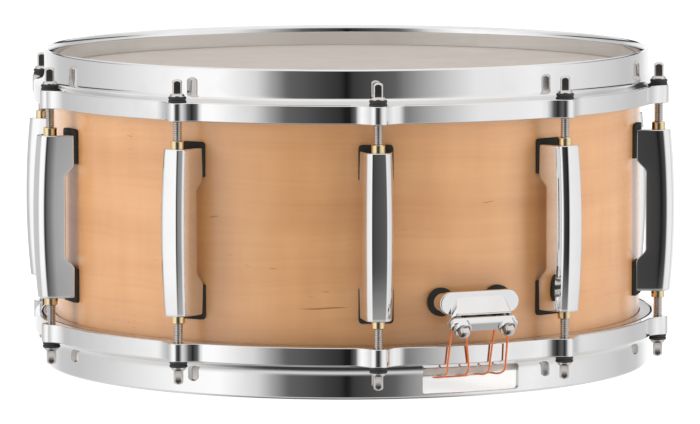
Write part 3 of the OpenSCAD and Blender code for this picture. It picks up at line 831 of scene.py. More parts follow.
class Finishes:
    """Every finish on the drum."""

    chrome = Metal("polished_chrome", "chrome", (0.83, 0.83, 0.83), (0.77, 0.77, 0.77))
    plated = Metal("plated_steel", "chrome_steel", (0.70, 0.67, 0.65), (0.56, 0.53, 0.51), 0.15, 0.06)
    brass = Metal("turned_brass", "brass", (0.87, 0.70, 0.42), (0.78, 0.60, 0.33), 0.15, 0.08)
    aluminium = Metal(
        "drawn_aluminium", "flesh_aluminium", (0.70, 0.70, 0.71), (0.58, 0.58, 0.59), 0.28, 0.12
    )
    wire = Metal("bright_wire", "snare_steel", (0.66, 0.66, 0.67), (0.5, 0.5, 0.51), 0.2, 0.1)
    zinc = Metal("zinc_plate", "zinc_steel", (0.60, 0.61, 0.63), (0.48, 0.49, 0.5), 0.3, 0.12)
    nylon = Moulded("black_nylon", "black_nylon", roughness=0.35)
    rubber = Moulded("black_rubber", "black_rubber", (0.010, 0.009, 0.008), (0.035, 0.03, 0.026), 0.55)
    coated = Film("sprayed_head", "coated_film")
    clear = Film("clear_head", "clear_film", (0.79, 0.78, 0.75), (0.765, 0.755, 0.725), 0.22, 0.42, 0.000008)
    cord = Braid("braided_cord", "orange_cord")
    shell = Wood(
        "lacquered_maple", "maple",
        marks=(
            (-27.5, 52.5, 30.0, 0.6), (-58.0, 128.0, 5.0, 0.4), (-49.0, 104.0, 7.0, 0.4),
            (4.0, 112.0, 9.0, 0.35)
        )
    )
    edge = Wood("sanded_maple", "maple", (0.74, 0.50, 0.30), (0.50, 0.27, 0.13), lacquer=0.0, plies=9)


# ---------------------------------------------------------------- sub-assemblies


class Placer:
    """Makes objects out of shapes and tells the frame what they stand for."""

    made: list[str] = []

    @classmethod
    def show(
        cls, shape: Shape | bpy.types.Mesh, name: str, finish: Finish, body: str, nodes: Sequence[str],
        place: Matrix | None = None, smooth: float = 40.0
    ) -> bpy.types.Object:
        """Makes one piece.

        Args:
            shape: the shape, or a mesh that several pieces share.
            name: the piece's name.
            finish: its finish.
            body: the body that it rides on.
            nodes: the nodes that it stands for.
            place: where it goes, with lengths in metres.
            smooth: edges sharper than this stay sharp, in degrees.

        Returns:
            The object.
        """
        mesh = shape if isinstance(shape, bpy.types.Mesh) else shape.to_mesh(name, smooth)
        obj = bpy.data.objects.new(name, mesh)
        bpy.context.scene.collection.objects.link(obj)
        if place is not None:
            obj.matrix_world = place
        finish.dress(obj)
        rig.ride(obj, body)
        if nodes:
            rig.replaces(obj, *nodes)
        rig.slot(obj, finish.slot)
        LOG.info("%s: %d points, on %s", name, len(mesh.vertices), body)
        cls.made.append(name)
        return obj

    @staticmethod
    def even_normals(obj: bpy.types.Object) -> None:
        """Keeps large flat faces flat beside small rounded edges."""
        modifier = obj.modifiers.new("even_normals", "WEIGHTED_NORMAL")
        modifier.keep_sharp = True


@dataclass
class Shell:
    """The maple shell, with its bearing edges, snare beds and vent."""

    radius: ClassVar[float] = 177.8
    wall: ClassVar[float] = 7.5
    low: float = 12.85
    high: float = 177.95
    apex_in: float = 1.3
    bed_depth: float = 1.2
    bed_half_width: float = 46.0
    vent_deg: float = 144.0
    vent_r: float = 6.5
    segments: int = 360

    def build(self) -> None:
        """Builds the shell with two finishes, and its vent eyelet."""
        mesh = self.skin().to_mesh("maple_shell")
        mesh.materials.append(Finishes.shell.material())
        mesh.materials.append(Finishes.edge.material())
        limit = (self.radius - 0.02) * MM * math.cos(math.pi / self.segments)
        for face in mesh.polygons:
            face.material_index = 0 if math.hypot(*face.center[:2]) > limit else 1
        shell = bpy.data.objects.new("maple_shell", mesh)
        bpy.context.scene.collection.objects.link(shell)
        self.drill(shell)
        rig.ride(shell, "drum")
        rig.replaces(shell, "shell")
        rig.slot(shell, "maple")
        LOG.info("maple_shell: %d points", len(shell.data.vertices))
        eyelet = revolve(self.eyelet(), 64)
        place = at_angle(self.vent_deg) @ facing_out(0, 0, (self.low + self.high) / 2)
        Placer.show(eyelet.moved(place), "vent_eyelet", Finishes.chrome, "drum", ["vent_grommet"])

    def skin(self) -> Shape:
        """Returns the shell's solid, with the snare beds scooped from the lower edge."""
        r, inner, apex = self.radius, self.radius - self.wall, self.radius - self.apex_in
        bevel = apex - inner
        rise = self.apex_in
        low = [(inner, self.low + bevel), (apex - 0.6, self.low + 0.6), (apex - 0.15, self.low + 0.12)]
        low += [(apex + 0.2, self.low + 0.1), (r - 0.35, self.low + rise - 0.35), (r, self.low + rise)]
        high = [(x, self.low + self.high - z) for x, z in reversed(low)]
        walls = [(r, z) for z in np.linspace(self.low + rise + 4, self.high - rise - 4, 6)]
        shape = revolve(low + walls + high, self.segments)
        x, y, z = shape.verts.T
        scoop = np.clip(1 - (x / self.bed_half_width) ** 2, 0, 1) * self.bed_depth
        fall = np.clip((self.low + bevel + 3 - z) / (bevel + 3), 0, 1)
        shape.verts[:, 2] += scoop * fall
        return shape

    def drill(self, shell: bpy.types.Object) -> None:
        """Cuts the vent hole."""
        place = at_angle(self.vent_deg) @ facing_out(0, 0, (self.low + self.high) / 2)
        drill = revolve([(0, -20), (self.vent_r, -20), (self.vent_r, 10), (0, 10)], 48, False).moved(place)
        cut_with(shell, drill)

    def eyelet(self) -> list[Flat]:
        """Returns the half section of the vent's eyelet."""
        flange, bore, back = 9.6, 4.9, -self.wall - 1.1
        front = [(bore, 0.2), (5.2, 1.0), (6.2, 1.25), (8.4, 1.1), (flange, 0.65), (flange, 0.4), (6.3, 0.4)]
        return front + [
            (6.3, back + 0.8), (8.4, back + 0.8), (8.4, back + 0.2), (7.8, back), (5.4, back),
            (bore, back + 0.5)
        ]


def cut_with(obj: bpy.types.Object, cutter: Shape) -> None:
    """Cuts a shape out of an object for good.

    Args:
        obj: the object.
        cutter: what is cut out, in millimetres.
    """
    mesh = cutter.to_mesh("cutter")
    tool = bpy.data.objects.new("cutter", mesh)
    bpy.context.scene.collection.objects.link(tool)
    modifier = obj.modifiers.new("cut", "BOOLEAN")
    modifier.operation, modifier.object, modifier.solver = "DIFFERENCE", tool, "EXACT"
    graph = bpy.context.evaluated_depsgraph_get()
    result = bpy.data.meshes.new_from_object(obj.evaluated_get(graph))
    obj.modifiers.clear()
    old, obj.data = obj.data, result
    bpy.data.objects.remove(tool)
    bpy.data.meshes.remove(mesh)
    bpy.data.meshes.remove(old)


@dataclass
class Heads:
    """The two films; their flesh hoops keep their own shapes."""

    film: float = 0.3
    skirt: float = 178.1
    corner: float = 1.1
    under: float = 12.55
    skirt_end: float = 29.4

    def build(self) -> None:
        """Builds both films."""
        lower = revolve(self.outline(), 240)
        upper = Shape(lower.verts * (1, 1, -1) + (0, 0, TOTAL_HEIGHT), lower.faces)
        Placer.show(upper, "sprayed_batter_film", Finishes.coated, "drum", ["batter_head_film"])
        Placer.show(lower, "clear_snare_film", Finishes.clear, "drum", ["snare_head_film"])

    def outline(self) -> list[Flat]:
        """Returns the half section of the snare side's film, from its middle out."""
        inner = self.skirt - self.corner
        outer = [(r, self.under) for r in (0, 40, 90, 140, inner - 2)]
        for k in range(5):
            a = math.pi / 2 * k / 4
            reach = self.corner + self.film
            outer.append((inner + reach * math.sin(a), self.under + reach * (1 - math.cos(a))))
        outer.append((self.skirt + self.film, self.skirt_end))
        inside = [(self.skirt, self.skirt_end)]
        for k in range(5):
            a = math.pi / 2 * (4 - k) / 4
            inside.append(
                (inner + self.corner * math.sin(a), self.under + self.film + self.corner * (1 - math.cos(a)))
            )
        inside += [(r, self.under + self.film) for r in (inner - 2, 140, 90, 40, 0)]
        return outer + inside


class Side(Enum):
    """The two sides of the drum, each with the turn that brings a snare-side piece there."""

    SNARE = "snare"
    BATTER = "batter"

    def turn(self, total: float) -> Matrix:
        """Returns the turn, half a turn about the line across the drum at mid height for the batter side."""
        if self is Side.SNARE:
            return Matrix.Identity(4)
        middle = Matrix.Translation((0, 0, total / 2))
        return middle @ Matrix.Rotation(math.pi, 4, "Y") @ middle.inverted()


@dataclass
class Hoop:
    """A die-cast hoop, drawn from its rim at height 0 towards the drum's middle."""

    wall_r: float = 183.2
    inner_r: float = 179.7
    flange_r: float = 189.6
    flange_inner_r: float = 185.6
    ear_r: float = 6.0
    blend_r: float = 15.0
    flange_top: float = 20.2
    flange_end: float = 31.0
    step_under: float = 20.7
    lip_in: Flat = (2.3, 4.4)
    lip_out: Flat = (1.2, 1.6)
    cove_start: float = 13.4
    cove_end: Flat = (185.4, 18.5)
    gate_w: float = 61.0
    gate_low: float = 2.5
    gate_high: float = 17.6
    gate_corner: float = 2.2

    def build(self) -> None:
        """Builds both hoops, and cuts the gates in the snare side's."""
        for side in Side:
            hoop = self.casting().moved(side.turn(TOTAL_HEIGHT))
            name = f"{side.value}_hoop"
            obj = Placer.show(hoop, f"cast_{name}", Finishes.chrome, name, [name], smooth=35)
            seats = Shape.joined(self.seat().moved(at_angle(lug_angle(i))) for i in range(LUG_COUNT))
            cut_with(obj, seats.moved(side.turn(TOTAL_HEIGHT)))
            if side is Side.SNARE:
                for angle in (0, 180):
                    cut_with(obj, self.gate().moved(at_angle(angle)))
            obj.data.set_sharp_from_angle(angle=math.radians(35))
            Placer.even_normals(obj)

    def edge_points(self) -> list[Flat]:
        """Returns (angle in degrees, flange's outer radius) round one ear, from one side to the other."""
        d1, d2 = self.flange_r + self.blend_r, self.ear_r + self.blend_r
        out = (d1**2 - d2**2 + ROD_RADIUS**2) / (2 * ROD_RADIUS)
        across = math.sqrt(d1**2 - out**2)
        share = self.ear_r / d2
        touch = (across * share, ROD_RADIUS + (out - ROD_RADIUS) * share)
        ear_end = math.atan2(touch[0], touch[1] - ROD_RADIUS)
        half: list[Flat] = []
        for a in np.linspace(0, ear_end, 14):
            half.append((self.ear_r * math.sin(a), ROD_RADIUS + self.ear_r * math.cos(a)))
        start = math.atan2(touch[1] - out, touch[0] - across)
        end = math.atan2(-out, -across)
        end += 2 * math.pi if end < start - math.pi else 0
        start += 2 * math.pi if start < end - math.pi else 0
        for a in np.linspace(start, end, 14)[1:]:
            half.append((across + self.blend_r * math.cos(a), out + self.blend_r * math.sin(a)))
        polar = [(math.degrees(math.atan2(x, y)), math.hypot(x, y)) for x, y in half]
        pitch = 180 / LUG_COUNT
        plain = [(a, self.flange_r) for a in np.linspace(polar[-1][0], pitch, 22)[1:]]
        polar += plain
        return [(-a, r) for a, r in reversed(polar[1:-1])] + polar

    def section(self, rim: float) -> list[Flat]:
        """Returns the closed half section where the flange's outer radius is rim."""
        top = self.inner_r + self.lip_in[0]
        points = [(self.inner_r, self.step_under - 0.3), (self.inner_r, 14.0), (self.inner_r, 7.0)]
        for (wide, tall), start in ((self.lip_in, 0.0), (self.lip_out, math.pi / 2)):
            angles = np.linspace(start, start + math.pi / 2, 9)
            points += [(top - wide * math.cos(a), tall * (1 - math.sin(a))) for a in angles]
        points.pop(-9)
        points += [(self.wall_r, 5.0), (self.wall_r, 9.0), (self.wall_r, self.cove_start)]
        a, b, c = Vector((self.wall_r, self.cove_start)), Vector((self.wall_r, 17.9)), Vector(self.cove_end)
        points += [tuple(a * (1 - t) ** 2 + b * 2 * t * (1 - t) + c * t * t) for t in np.linspace(0.12, 1, 8)]
        edge, top = 0.7, self.flange_top
        points.append((self.flange_r - 1.6, top - 0.55))
        points.append((self.flange_r - edge, top - 0.2 if rim <= self.flange_r + 0.01 else top - 0.02))
        points += [
            (rim - edge * (1 - math.sin(a)), top + edge * (1 - math.cos(a)))
            for a in np.linspace(0.05, math.pi / 2, 5)
        ]
        points += [(rim, (top + self.flange_end) / 2)]
        end = self.flange_end
        points += [
            (rim - edge * (1 - math.cos(a)), end - edge * (1 - math.sin(a)))
            for a in np.linspace(0, math.pi / 2, 5)
        ]
        points += [(self.flange_inner_r + 0.3, end), (self.flange_inner_r, end - 0.3)]
        points += [(self.flange_inner_r, self.step_under), (self.inner_r + 0.3, self.step_under)]
        return points

    def casting(self) -> Shape:
        """Returns the whole hoop without gates."""
        rings = []
        for lug in range(LUG_COUNT):
            middle = lug_angle(lug)
            for angle, rim in self.edge_points():
                a = math.radians(middle + angle)
                rings.append([(r * math.sin(a), -r * math.cos(a), z) for r, z in self.section(rim)])
        rings.append(rings[0])
        skin = loft(rings, capped=False)
        bm = skin.to_bmesh()
        bmesh.ops.remove_doubles(bm, verts=bm.verts, dist=1e-4)
        return Shape.from_bmesh(bm)

    def seat(self) -> Shape:
        """Returns what is milled from one ear: the washer's seat and the rod's hole."""
        outline = [(0, self.cove_start), (5.45, self.cove_start), (5.45, self.flange_top + 0.2)]
        outline += [(3, self.flange_top + 0.2), (3, self.flange_end + 2), (0, self.flange_end + 2)]
        return revolve(outline, 48, False).moved(Matrix.Translation((0, -ROD_RADIUS, 0)))

    def gate(self) -> Shape:
        """Returns the solid that a gate removes from the wall."""
        half, low, high = self.gate_w / 2, self.gate_low, self.gate_high
        corners = [(-half, low), (half, low), (half, high), (-half, high)]
        outline = rounded_outline(corners, [self.gate_corner] * 4, 6)
        near, far = -self.inner_r + 6, -self.wall_r - 1.2
        return loft([[(x, y, z) for x, z in outline] for y in (near, far)])


@dataclass
class Lugs:
    """Ten bridge lugs with their pads and brass nuts."""

    mid: float = 95.4
    height: float = 97.2
    crown_r: float = 201.2
    bow: float = 2.4
    ridge_drop: float = 2.8
    ridge_half: float = 7.5
    crown_half: float = 4.7
    side_drop: float = 6.7
    bridge_r: float = 185.7
    pad: float = 2.3
    foot: float = 17.4
    slope: float = 8.0

    def build(self) -> None:
        """Builds the castings, and the pads and nuts as one piece each."""
        mesh = self.casting().to_mesh("lug_casting", 38)
        for i in range(LUG_COUNT):
            place = at_angle(lug_angle(i))
            obj = Placer.show(mesh, f"lug_casting_{i + 1}", Finishes.chrome, "drum", [f"lug_{i + 1}"], place)
            Placer.even_normals(obj)
        ends = [side.turn(TOTAL_HEIGHT) for side in Side]
        pads = Shape.joined(
            self.one_pad().moved(at_angle(lug_angle(i)) @ end) for i in range(LUG_COUNT) for end in ends
        )
        Placer.show(pads, "lug_pads", Finishes.rubber, "drum", ["lug_gaskets"], smooth=50)
        nuts = Shape.joined(
            self.nut().moved(at_angle(lug_angle(i)) @ end) for i in range(LUG_COUNT) for end in ends
        )
        Placer.show(nuts, "brass_nuts", Finishes.brass, "drum", ["swivel_nuts"])

    def back(self, z: float) -> float:
        """Returns how far from the axis the lug's back stands at a height."""
        foot_r = Shell.radius + self.pad + 0.05
        inside = self.height / 2 - self.foot - abs(z - self.mid)
        t = min(max(inside / self.slope, 0.0), 1.0)
        return foot_r + (self.bridge_r - foot_r) * t * t * (3 - 2 * t)

    def ring(self, z: float, draw_in: float) -> list[Point]:
        """Draws a lug's cross-section.

        Args:
            z: the height.
            draw_in: how far it is drawn in, for the rounded ends.

        Returns:
            The closed section, at the butt side.
        """
        s = 2 * (z - self.mid) / self.height
        crown = self.crown_r - self.bow * s * s - draw_in
        ridge_r = crown - self.ridge_drop
        ridge = self.ridge_half - 0.6 * s * s - draw_in
        face = self.crown_half - 0.6 * s * s - draw_in * 0.4
        side, side_r = ridge + 0.9, crown - self.side_drop
        back = self.back(z)
        foot_half = side + (side_r - back) * (0.125 + 0.02 * s * s)
        half = [(foot_half, back), (side, side_r), (ridge, ridge_r), (face, crown - 0.12), (0, crown)]
        corners = [(-x, -r) for x, r in half] + [(x, -r) for x, r in reversed(half[:-1])]
        reach = [0.9, 2.2, 0.9, 0.7, 2.2]
        outline = rounded_outline(corners, reach + reach[-2::-1], 3)
        curved = []
        for x, y in outline:
            if y > -back - 0.6:
                y += back - math.sqrt(max(back * back - x * x, 0))
            curved.append((x, y, z))
        return curved

    def casting(self) -> Shape:
        """Returns one lug at the butt side."""
        low, high, edge = self.mid - self.height / 2, self.mid + self.height / 2, 0.7
        rings = []
        for k in range(4):
            a = math.pi / 2 * k / 3
            rings.append(self.ring(low + edge * (1 - math.cos(a)), edge * (1 - math.sin(a))))
        heights = sorted(
            {
                *np.linspace(low + 2, self.mid, 12),
                *np.linspace(low + self.foot, low + self.foot + self.slope, 9)
            }
        )
        rings += [self.ring(z, 0) for z in heights]
        upper = [[(x, y, 2 * self.mid - z) for x, y, z in ring] for ring in reversed(rings[:-1])]
        return loft(rings + upper)

    def one_pad(self) -> Shape:
        """Returns the pad under a lower foot, bent round the shell."""
        width, height, low = 20.2, 20.4, self.mid - self.height / 2 - 3.1
        half = width / 2

        def outline(draw_in: float) -> list[Flat]:
            h, b, t = half - draw_in, low + draw_in, low + height - draw_in
            return rounded_outline([(-h, b), (h, b), (h, t), (-h, t)], [2.4, 2.4, 0.8, 0.8], 5)

        rings = []
        for r, draw_in in ((0.03, 0.0), (self.pad - 0.5, 0.0), (self.pad - 0.12, 0.15), (self.pad, 0.5)):
            rings.append([self.bent(x, z, Shell.radius + r) for x, z in outline(draw_in)])
        return loft(rings)

    @staticmethod
    def bent(x: float, z: float, r: float) -> Point:
        """Returns the place of a flat point after it is bent to a radius."""
        return (x, -math.sqrt(r * r - x * x), z)

    def nut(self) -> Shape:
        """Returns the lower brass nut, with a chamfer round its end."""
        top, base = self.mid - self.height / 2 - 4.4, self.mid - self.height / 2
        outline = [
            (2.8, top + 0.35), (3.0, top), (3.6, top), (4.0, top + 0.4), (4.0, base - 0.02), (3.7, base)
        ]
        outline += [(3.7, base + 14), (2.8, base + 14)]
        return revolve(outline, 40).moved(Matrix.Translation((0, -ROD_RADIUS, 0)))


@dataclass
class Rods:
    """Twenty square-headed rods with cut threads, and their washers."""

    diameter: float = 5.35
    pitch: float = 1.058
    seat: float = 16.75
    collar: float = 1.7
    head: float = 8.7
    flats: float = 5.5
    corner: float = 1.28
    dome: float = 4.0
    flats_deg: float = -23.4
    depth: float = 71.5

    def build(self) -> None:
        """Builds the rods of both sides, which share one mesh, and the washers."""
        mesh = self.rod().to_mesh("rod", 38)
        washers = self.washer()
        for side in Side:
            for i in range(LUG_COUNT):
                angle = lug_angle(i)
                place = at_angle(angle) @ self.spin(self.flats_deg - angle) @ side.turn(TOTAL_HEIGHT * MM)
                name = f"{side.value}_rod_{i + 1}"
                Placer.show(mesh, f"threaded_{name}", Finishes.plated, name, [name], place)
            turns = [at_angle(lug_angle(i)) @ side.turn(TOTAL_HEIGHT) for i in range(LUG_COUNT)]
            ring = Shape.joined(washers.moved(t) for t in turns)
            name = f"{side.value}_rod_washers"
            Placer.show(ring, f"nylon_{name}", Finishes.nylon, f"{side.value}_hoop", [name])

    def spin(self, degrees: float) -> Matrix:
        """Returns the turn of a rod about its own line."""
        line = Matrix.Translation((0, -ROD_RADIUS * MM, 0))
        return line @ at_angle(degrees) @ line.inverted()

    def rod(self) -> Shape:
        """Returns one rod of the snare side at the butt side."""
        parts = [self.thread(), self.collar_ring(), self.square_head()]
        return Shape.joined(parts).moved(Matrix.Translation((0, -ROD_RADIUS, 0)))

    def thread(self) -> Shape:
        """Returns the shank, plain under the head and then cut with a right-hand thread."""
        sides, per_pitch = 20, 8
        outer, root = self.diameter / 2, self.diameter / 2 - 0.65
        start, end = self.seat - 0.5, self.depth
        cut_from = self.seat + 8
        heights = [start, cut_from - 1]
        heights += list(np.arange(cut_from - 0.5, end - 1, self.pitch / per_pitch))
        rings = []
        for z in heights:
            ring = []
            for k in range(sides):
                a = 2 * math.pi * k / sides
                phase = (z / self.pitch - k / sides) % 1.0
                depth = abs(phase - 0.5) * 2
                cut = min(max((z - cut_from) / 2, 0.0), 1.0)
                r = outer - (outer - root) * min(max((depth - 0.42) / 0.5, 0), 1) * cut
                ring.append((r * math.cos(a), r * math.sin(a), z))
            rings.append(ring)
        tip = [(x * 0.7, y * 0.7, end) for x, y, _ in rings[-1]]
        return loft(rings + [tip])

    def collar_ring(self) -> Shape:
        """Returns the tapered collar under the head."""
        low, high = self.seat - self.collar, self.seat
        outline = [
            (0, low), (3.5, low), (3.9, low + 0.25), (4.35, high - 0.55), (4.45, high - 0.3), (4.4, high),
            (0, high)
        ]
        return revolve(outline, 40, False)

    def square_head(self, length: float | None = None) -> Shape:
        """Makes a square head with round corners and a domed end.

        Args:
            length: its length, or None for a rod's own.

        Returns:
            The head, which points down from the collar.
        """
        length = self.head if length is None else length
        base = self.seat - self.collar + 0.2
        half, apex, sides = self.flats / 2, base - length, 48
        turns = [2 * math.pi * k / sides for k in range(sides)]
        square = [min(half / max(abs(math.cos(t)), abs(math.sin(t))), half * self.corner) for t in turns]
        start = math.acos(half * self.corner / self.dome)
        levels = [(base, self.flats * 2), (base - 0.4, self.flats * 2)]
        for a in np.linspace(start, 1.5, 14):
            levels.append((apex + self.dome * (1 - math.sin(a)), self.dome * math.cos(a)))
        rings = []
        for k, (z, reach) in enumerate(levels):
            wide = 1.1 if k == 0 else 1.0
            ring = [(min(r * wide, reach), t) for r, t in zip(square, turns)]
            rings.append([(r * math.cos(t), r * math.sin(t), z) for r, t in ring])
        return loft(rings)

    def washer(self) -> Shape:
        """Returns the grooved washer under a rod's head."""
        low, r, bore = self.seat + 0.03, 5.2, 2.75
        outline = [
            (bore, low), (r - 0.35, low), (r, low + 0.35), (r, low + 1.35), (r - 0.4, low + 1.6),
            (r - 0.4, low + 2.0)
        ]
        outline += [(r, low + 2.25), (r, low + 3.3), (r - 0.3, low + 3.6), (bore, low + 3.6)]
        return revolve(outline, 40).moved(Matrix.Translation((0, -ROD_RADIUS, 0)))


@dataclass
class Clamp:
    """The tilted bar and two screws that hold the cords, shared by the butt plate and the strainer."""

    ridge: Flat = (20.8, 50.2)
    face: float = 9.2
    gap: float = 2.0
    width: float = 43.0
    deep: float = 8.6
    thick: float = 4.5
    closer: float = 0.75
    screw_gap: float = 28.4
    head_dome: float = 8.0
    head_length: float = 5.85
    lip_half: float = 17.2

    def place(self) -> Matrix:
        """Returns the clamp face's place: x across, y up the face, z out of it."""
        half = self.face / 2 * math.cos(math.radians(45))
        tilt = Matrix.Rotation(math.radians(45), 4, "X")
        return facing_out(0, self.ridge[0] - half, self.ridge[1] - half) @ tilt

    def bar(self) -> Shape:
        """Returns the bar with its rounded edges and the two rings round its screws."""
        bar = pillow(
            lambda d: stadium(self.width - 2 * d, self.deep - 2 * d, 14), self.thick + self.closer, 1.5, 6
        )
        bar = bar.moved(Matrix.Translation((0, 0, -self.closer)))
        ring = [
            (2.2, 0.6), (4.1, 0.6), (4.3, 1.5), (4.6, 1.75), (5.0, 1.65), (5.3, 1.2), (5.3, -2.2), (2.2, -2.2)
        ]
        rings = [
            revolve(ring, 40).moved(Matrix.Translation((s * self.screw_gap / 2, 0, self.thick)))
            for s in (-1, 1)
        ]
        return Shape.joined([bar, *rings]).moved(self.place() @ Matrix.Translation((0, 0, self.gap)))

    def screws(self) -> Shape:
        """Returns the two clamp screws, each with a collar and a square head."""
        rods = Rods(dome=self.head_dome)
        head = rods.square_head(self.head_length)
        head = Shape(head.verts - (0, 0, rods.seat - rods.collar + 0.2), head.faces)
        head = head.moved(Matrix.Rotation(math.pi, 4, "X"))
        collar = revolve([(0, -1), (3.9, -1), (3.9, 0.5), (3.5, 1.0), (0, 1.0)], 36, False)
        shank = revolve([(0, -9.5), (1.5, -9.5), (1.9, -9.1), (1.9, 0), (0, 0)], 24, False)
        one = Shape.joined([head, collar, shank])
        out = self.gap + self.thick + 0.05
        places = [self.place() @ Matrix.Translation((s * self.screw_gap / 2, 0, out)) for s in (-1, 1)]
        return Shape.joined(one.moved(p) for p in places)

    def block(self, back: float, top: float) -> Shape:
        """Returns the wedge block that the cords are clamped against.

        Args:
            back: how far out its back stands.
            top: height of its top.

        Returns:
            The block at the butt side.
        """
        ridge_out, ridge_z = self.ridge
        drop = self.face * math.cos(math.radians(45))
        points: list[Point] = []
        rows = (
            (14.6, 15.5, top - 0.4), (16.4, ridge_out - 0.2, ridge_z + 0.7), (16.8, ridge_out, ridge_z),
            (19.2, ridge_out - 2.6, ridge_z - 1.6), (20.4, ridge_out - drop, ridge_z - drop),
            (20.4, back, ridge_z - drop), (19.6, back, ridge_z + 1), (15.6, back, top),
            (18.6, 15.0, ridge_z + 4)
        )
        for half, out, z in rows:
            points += [(s * half, -Shell.radius - out, z) for s in (-1, 1)]
        lip: list[Point] = []
        for aside, up in ((-1.6, 0.8), (0.2, 0.2), (0.5, -0.1), (0.45, -0.5), (-1.0, -0.4)):
            lip += [(s * self.lip_half, -Shell.radius - ridge_out - aside, ridge_z + up) for s in (-1, 1)]
        return Shape.joined([hull(points).cut_smooth(0.55, 3, 22), hull(lip)])


@dataclass
class ButtPlate:
    """The fixed anchor of the snares."""

    height: float = 55.4
    post_gap: float = 36.0
    post_r: float = 6.3
    pad_r: float = 8.3
    plate: Flat = (50.0, 13.5)
    plate_back: float = 11.6
    plate_front: float = 15.4
    block_top: float = 60.0
    clamp: Clamp = field(default_factory=Clamp)

    def build(self) -> None:
        """Builds the casting, its pads, the bar and the screws."""
        base = Placer.show(self.casting(), "butt_casting", Finishes.chrome, "drum", ["butt_base"], smooth=32)
        Placer.even_normals(base)
        pads = Shape.joined(
            revolve(self.pad_outline(), 48).moved(facing_out(x, 0, self.height)) for x in self.posts()
        )
        Placer.show(pads, "butt_pads", Finishes.rubber, "drum", ["butt_gaskets"])
        bar = Placer.show(self.clamp.bar(), "butt_clamp_bar", Finishes.chrome, "drum", ["butt_clamp_plate"])
        Placer.even_normals(bar)
        Placer.show(self.clamp.screws(), "butt_key_screws", Finishes.plated, "drum", ["butt_clamp_screws"])

    def posts(self) -> tuple[float, float]:
        """Returns how far across each post stands."""
        return (-self.post_gap / 2, self.post_gap / 2)

    def pad_outline(self) -> list[Flat]:
        """Returns the half section of a round pad."""
        r = self.pad_r
        return [(3, -0.3), (r, -0.3), (r, 1.7), (r - 0.2, 2.1), (r - 0.6, 2.3), (3, 2.3)]

    def casting(self) -> Shape:
        """Returns the posts, the plate with round ends and the wedge block, as one casting."""
        post = [
            (0, 2.0), (self.post_r + 0.3, 2.0), (self.post_r + 0.3, 2.8), (self.post_r, 3.6),
            (self.post_r - 0.4, 8.0)
        ]
        post += [(self.post_r - 0.3, self.plate_back + 0.8), (0, self.plate_back + 0.8)]
        parts = [revolve(post, 48, False).moved(facing_out(x, 0, self.height)) for x in self.posts()]
        width, height = self.plate
        plate = pillow(
            lambda d: stadium(width - 2 * d, height - 2 * d, 18), self.plate_front - self.plate_back, 0.9, 5
        )
        parts.append(plate.moved(facing_out(0, self.plate_back, self.height + 0.4)))
        parts.append(self.clamp.block(self.plate_back + 0.4, self.block_top))
        return Shape.joined(parts)


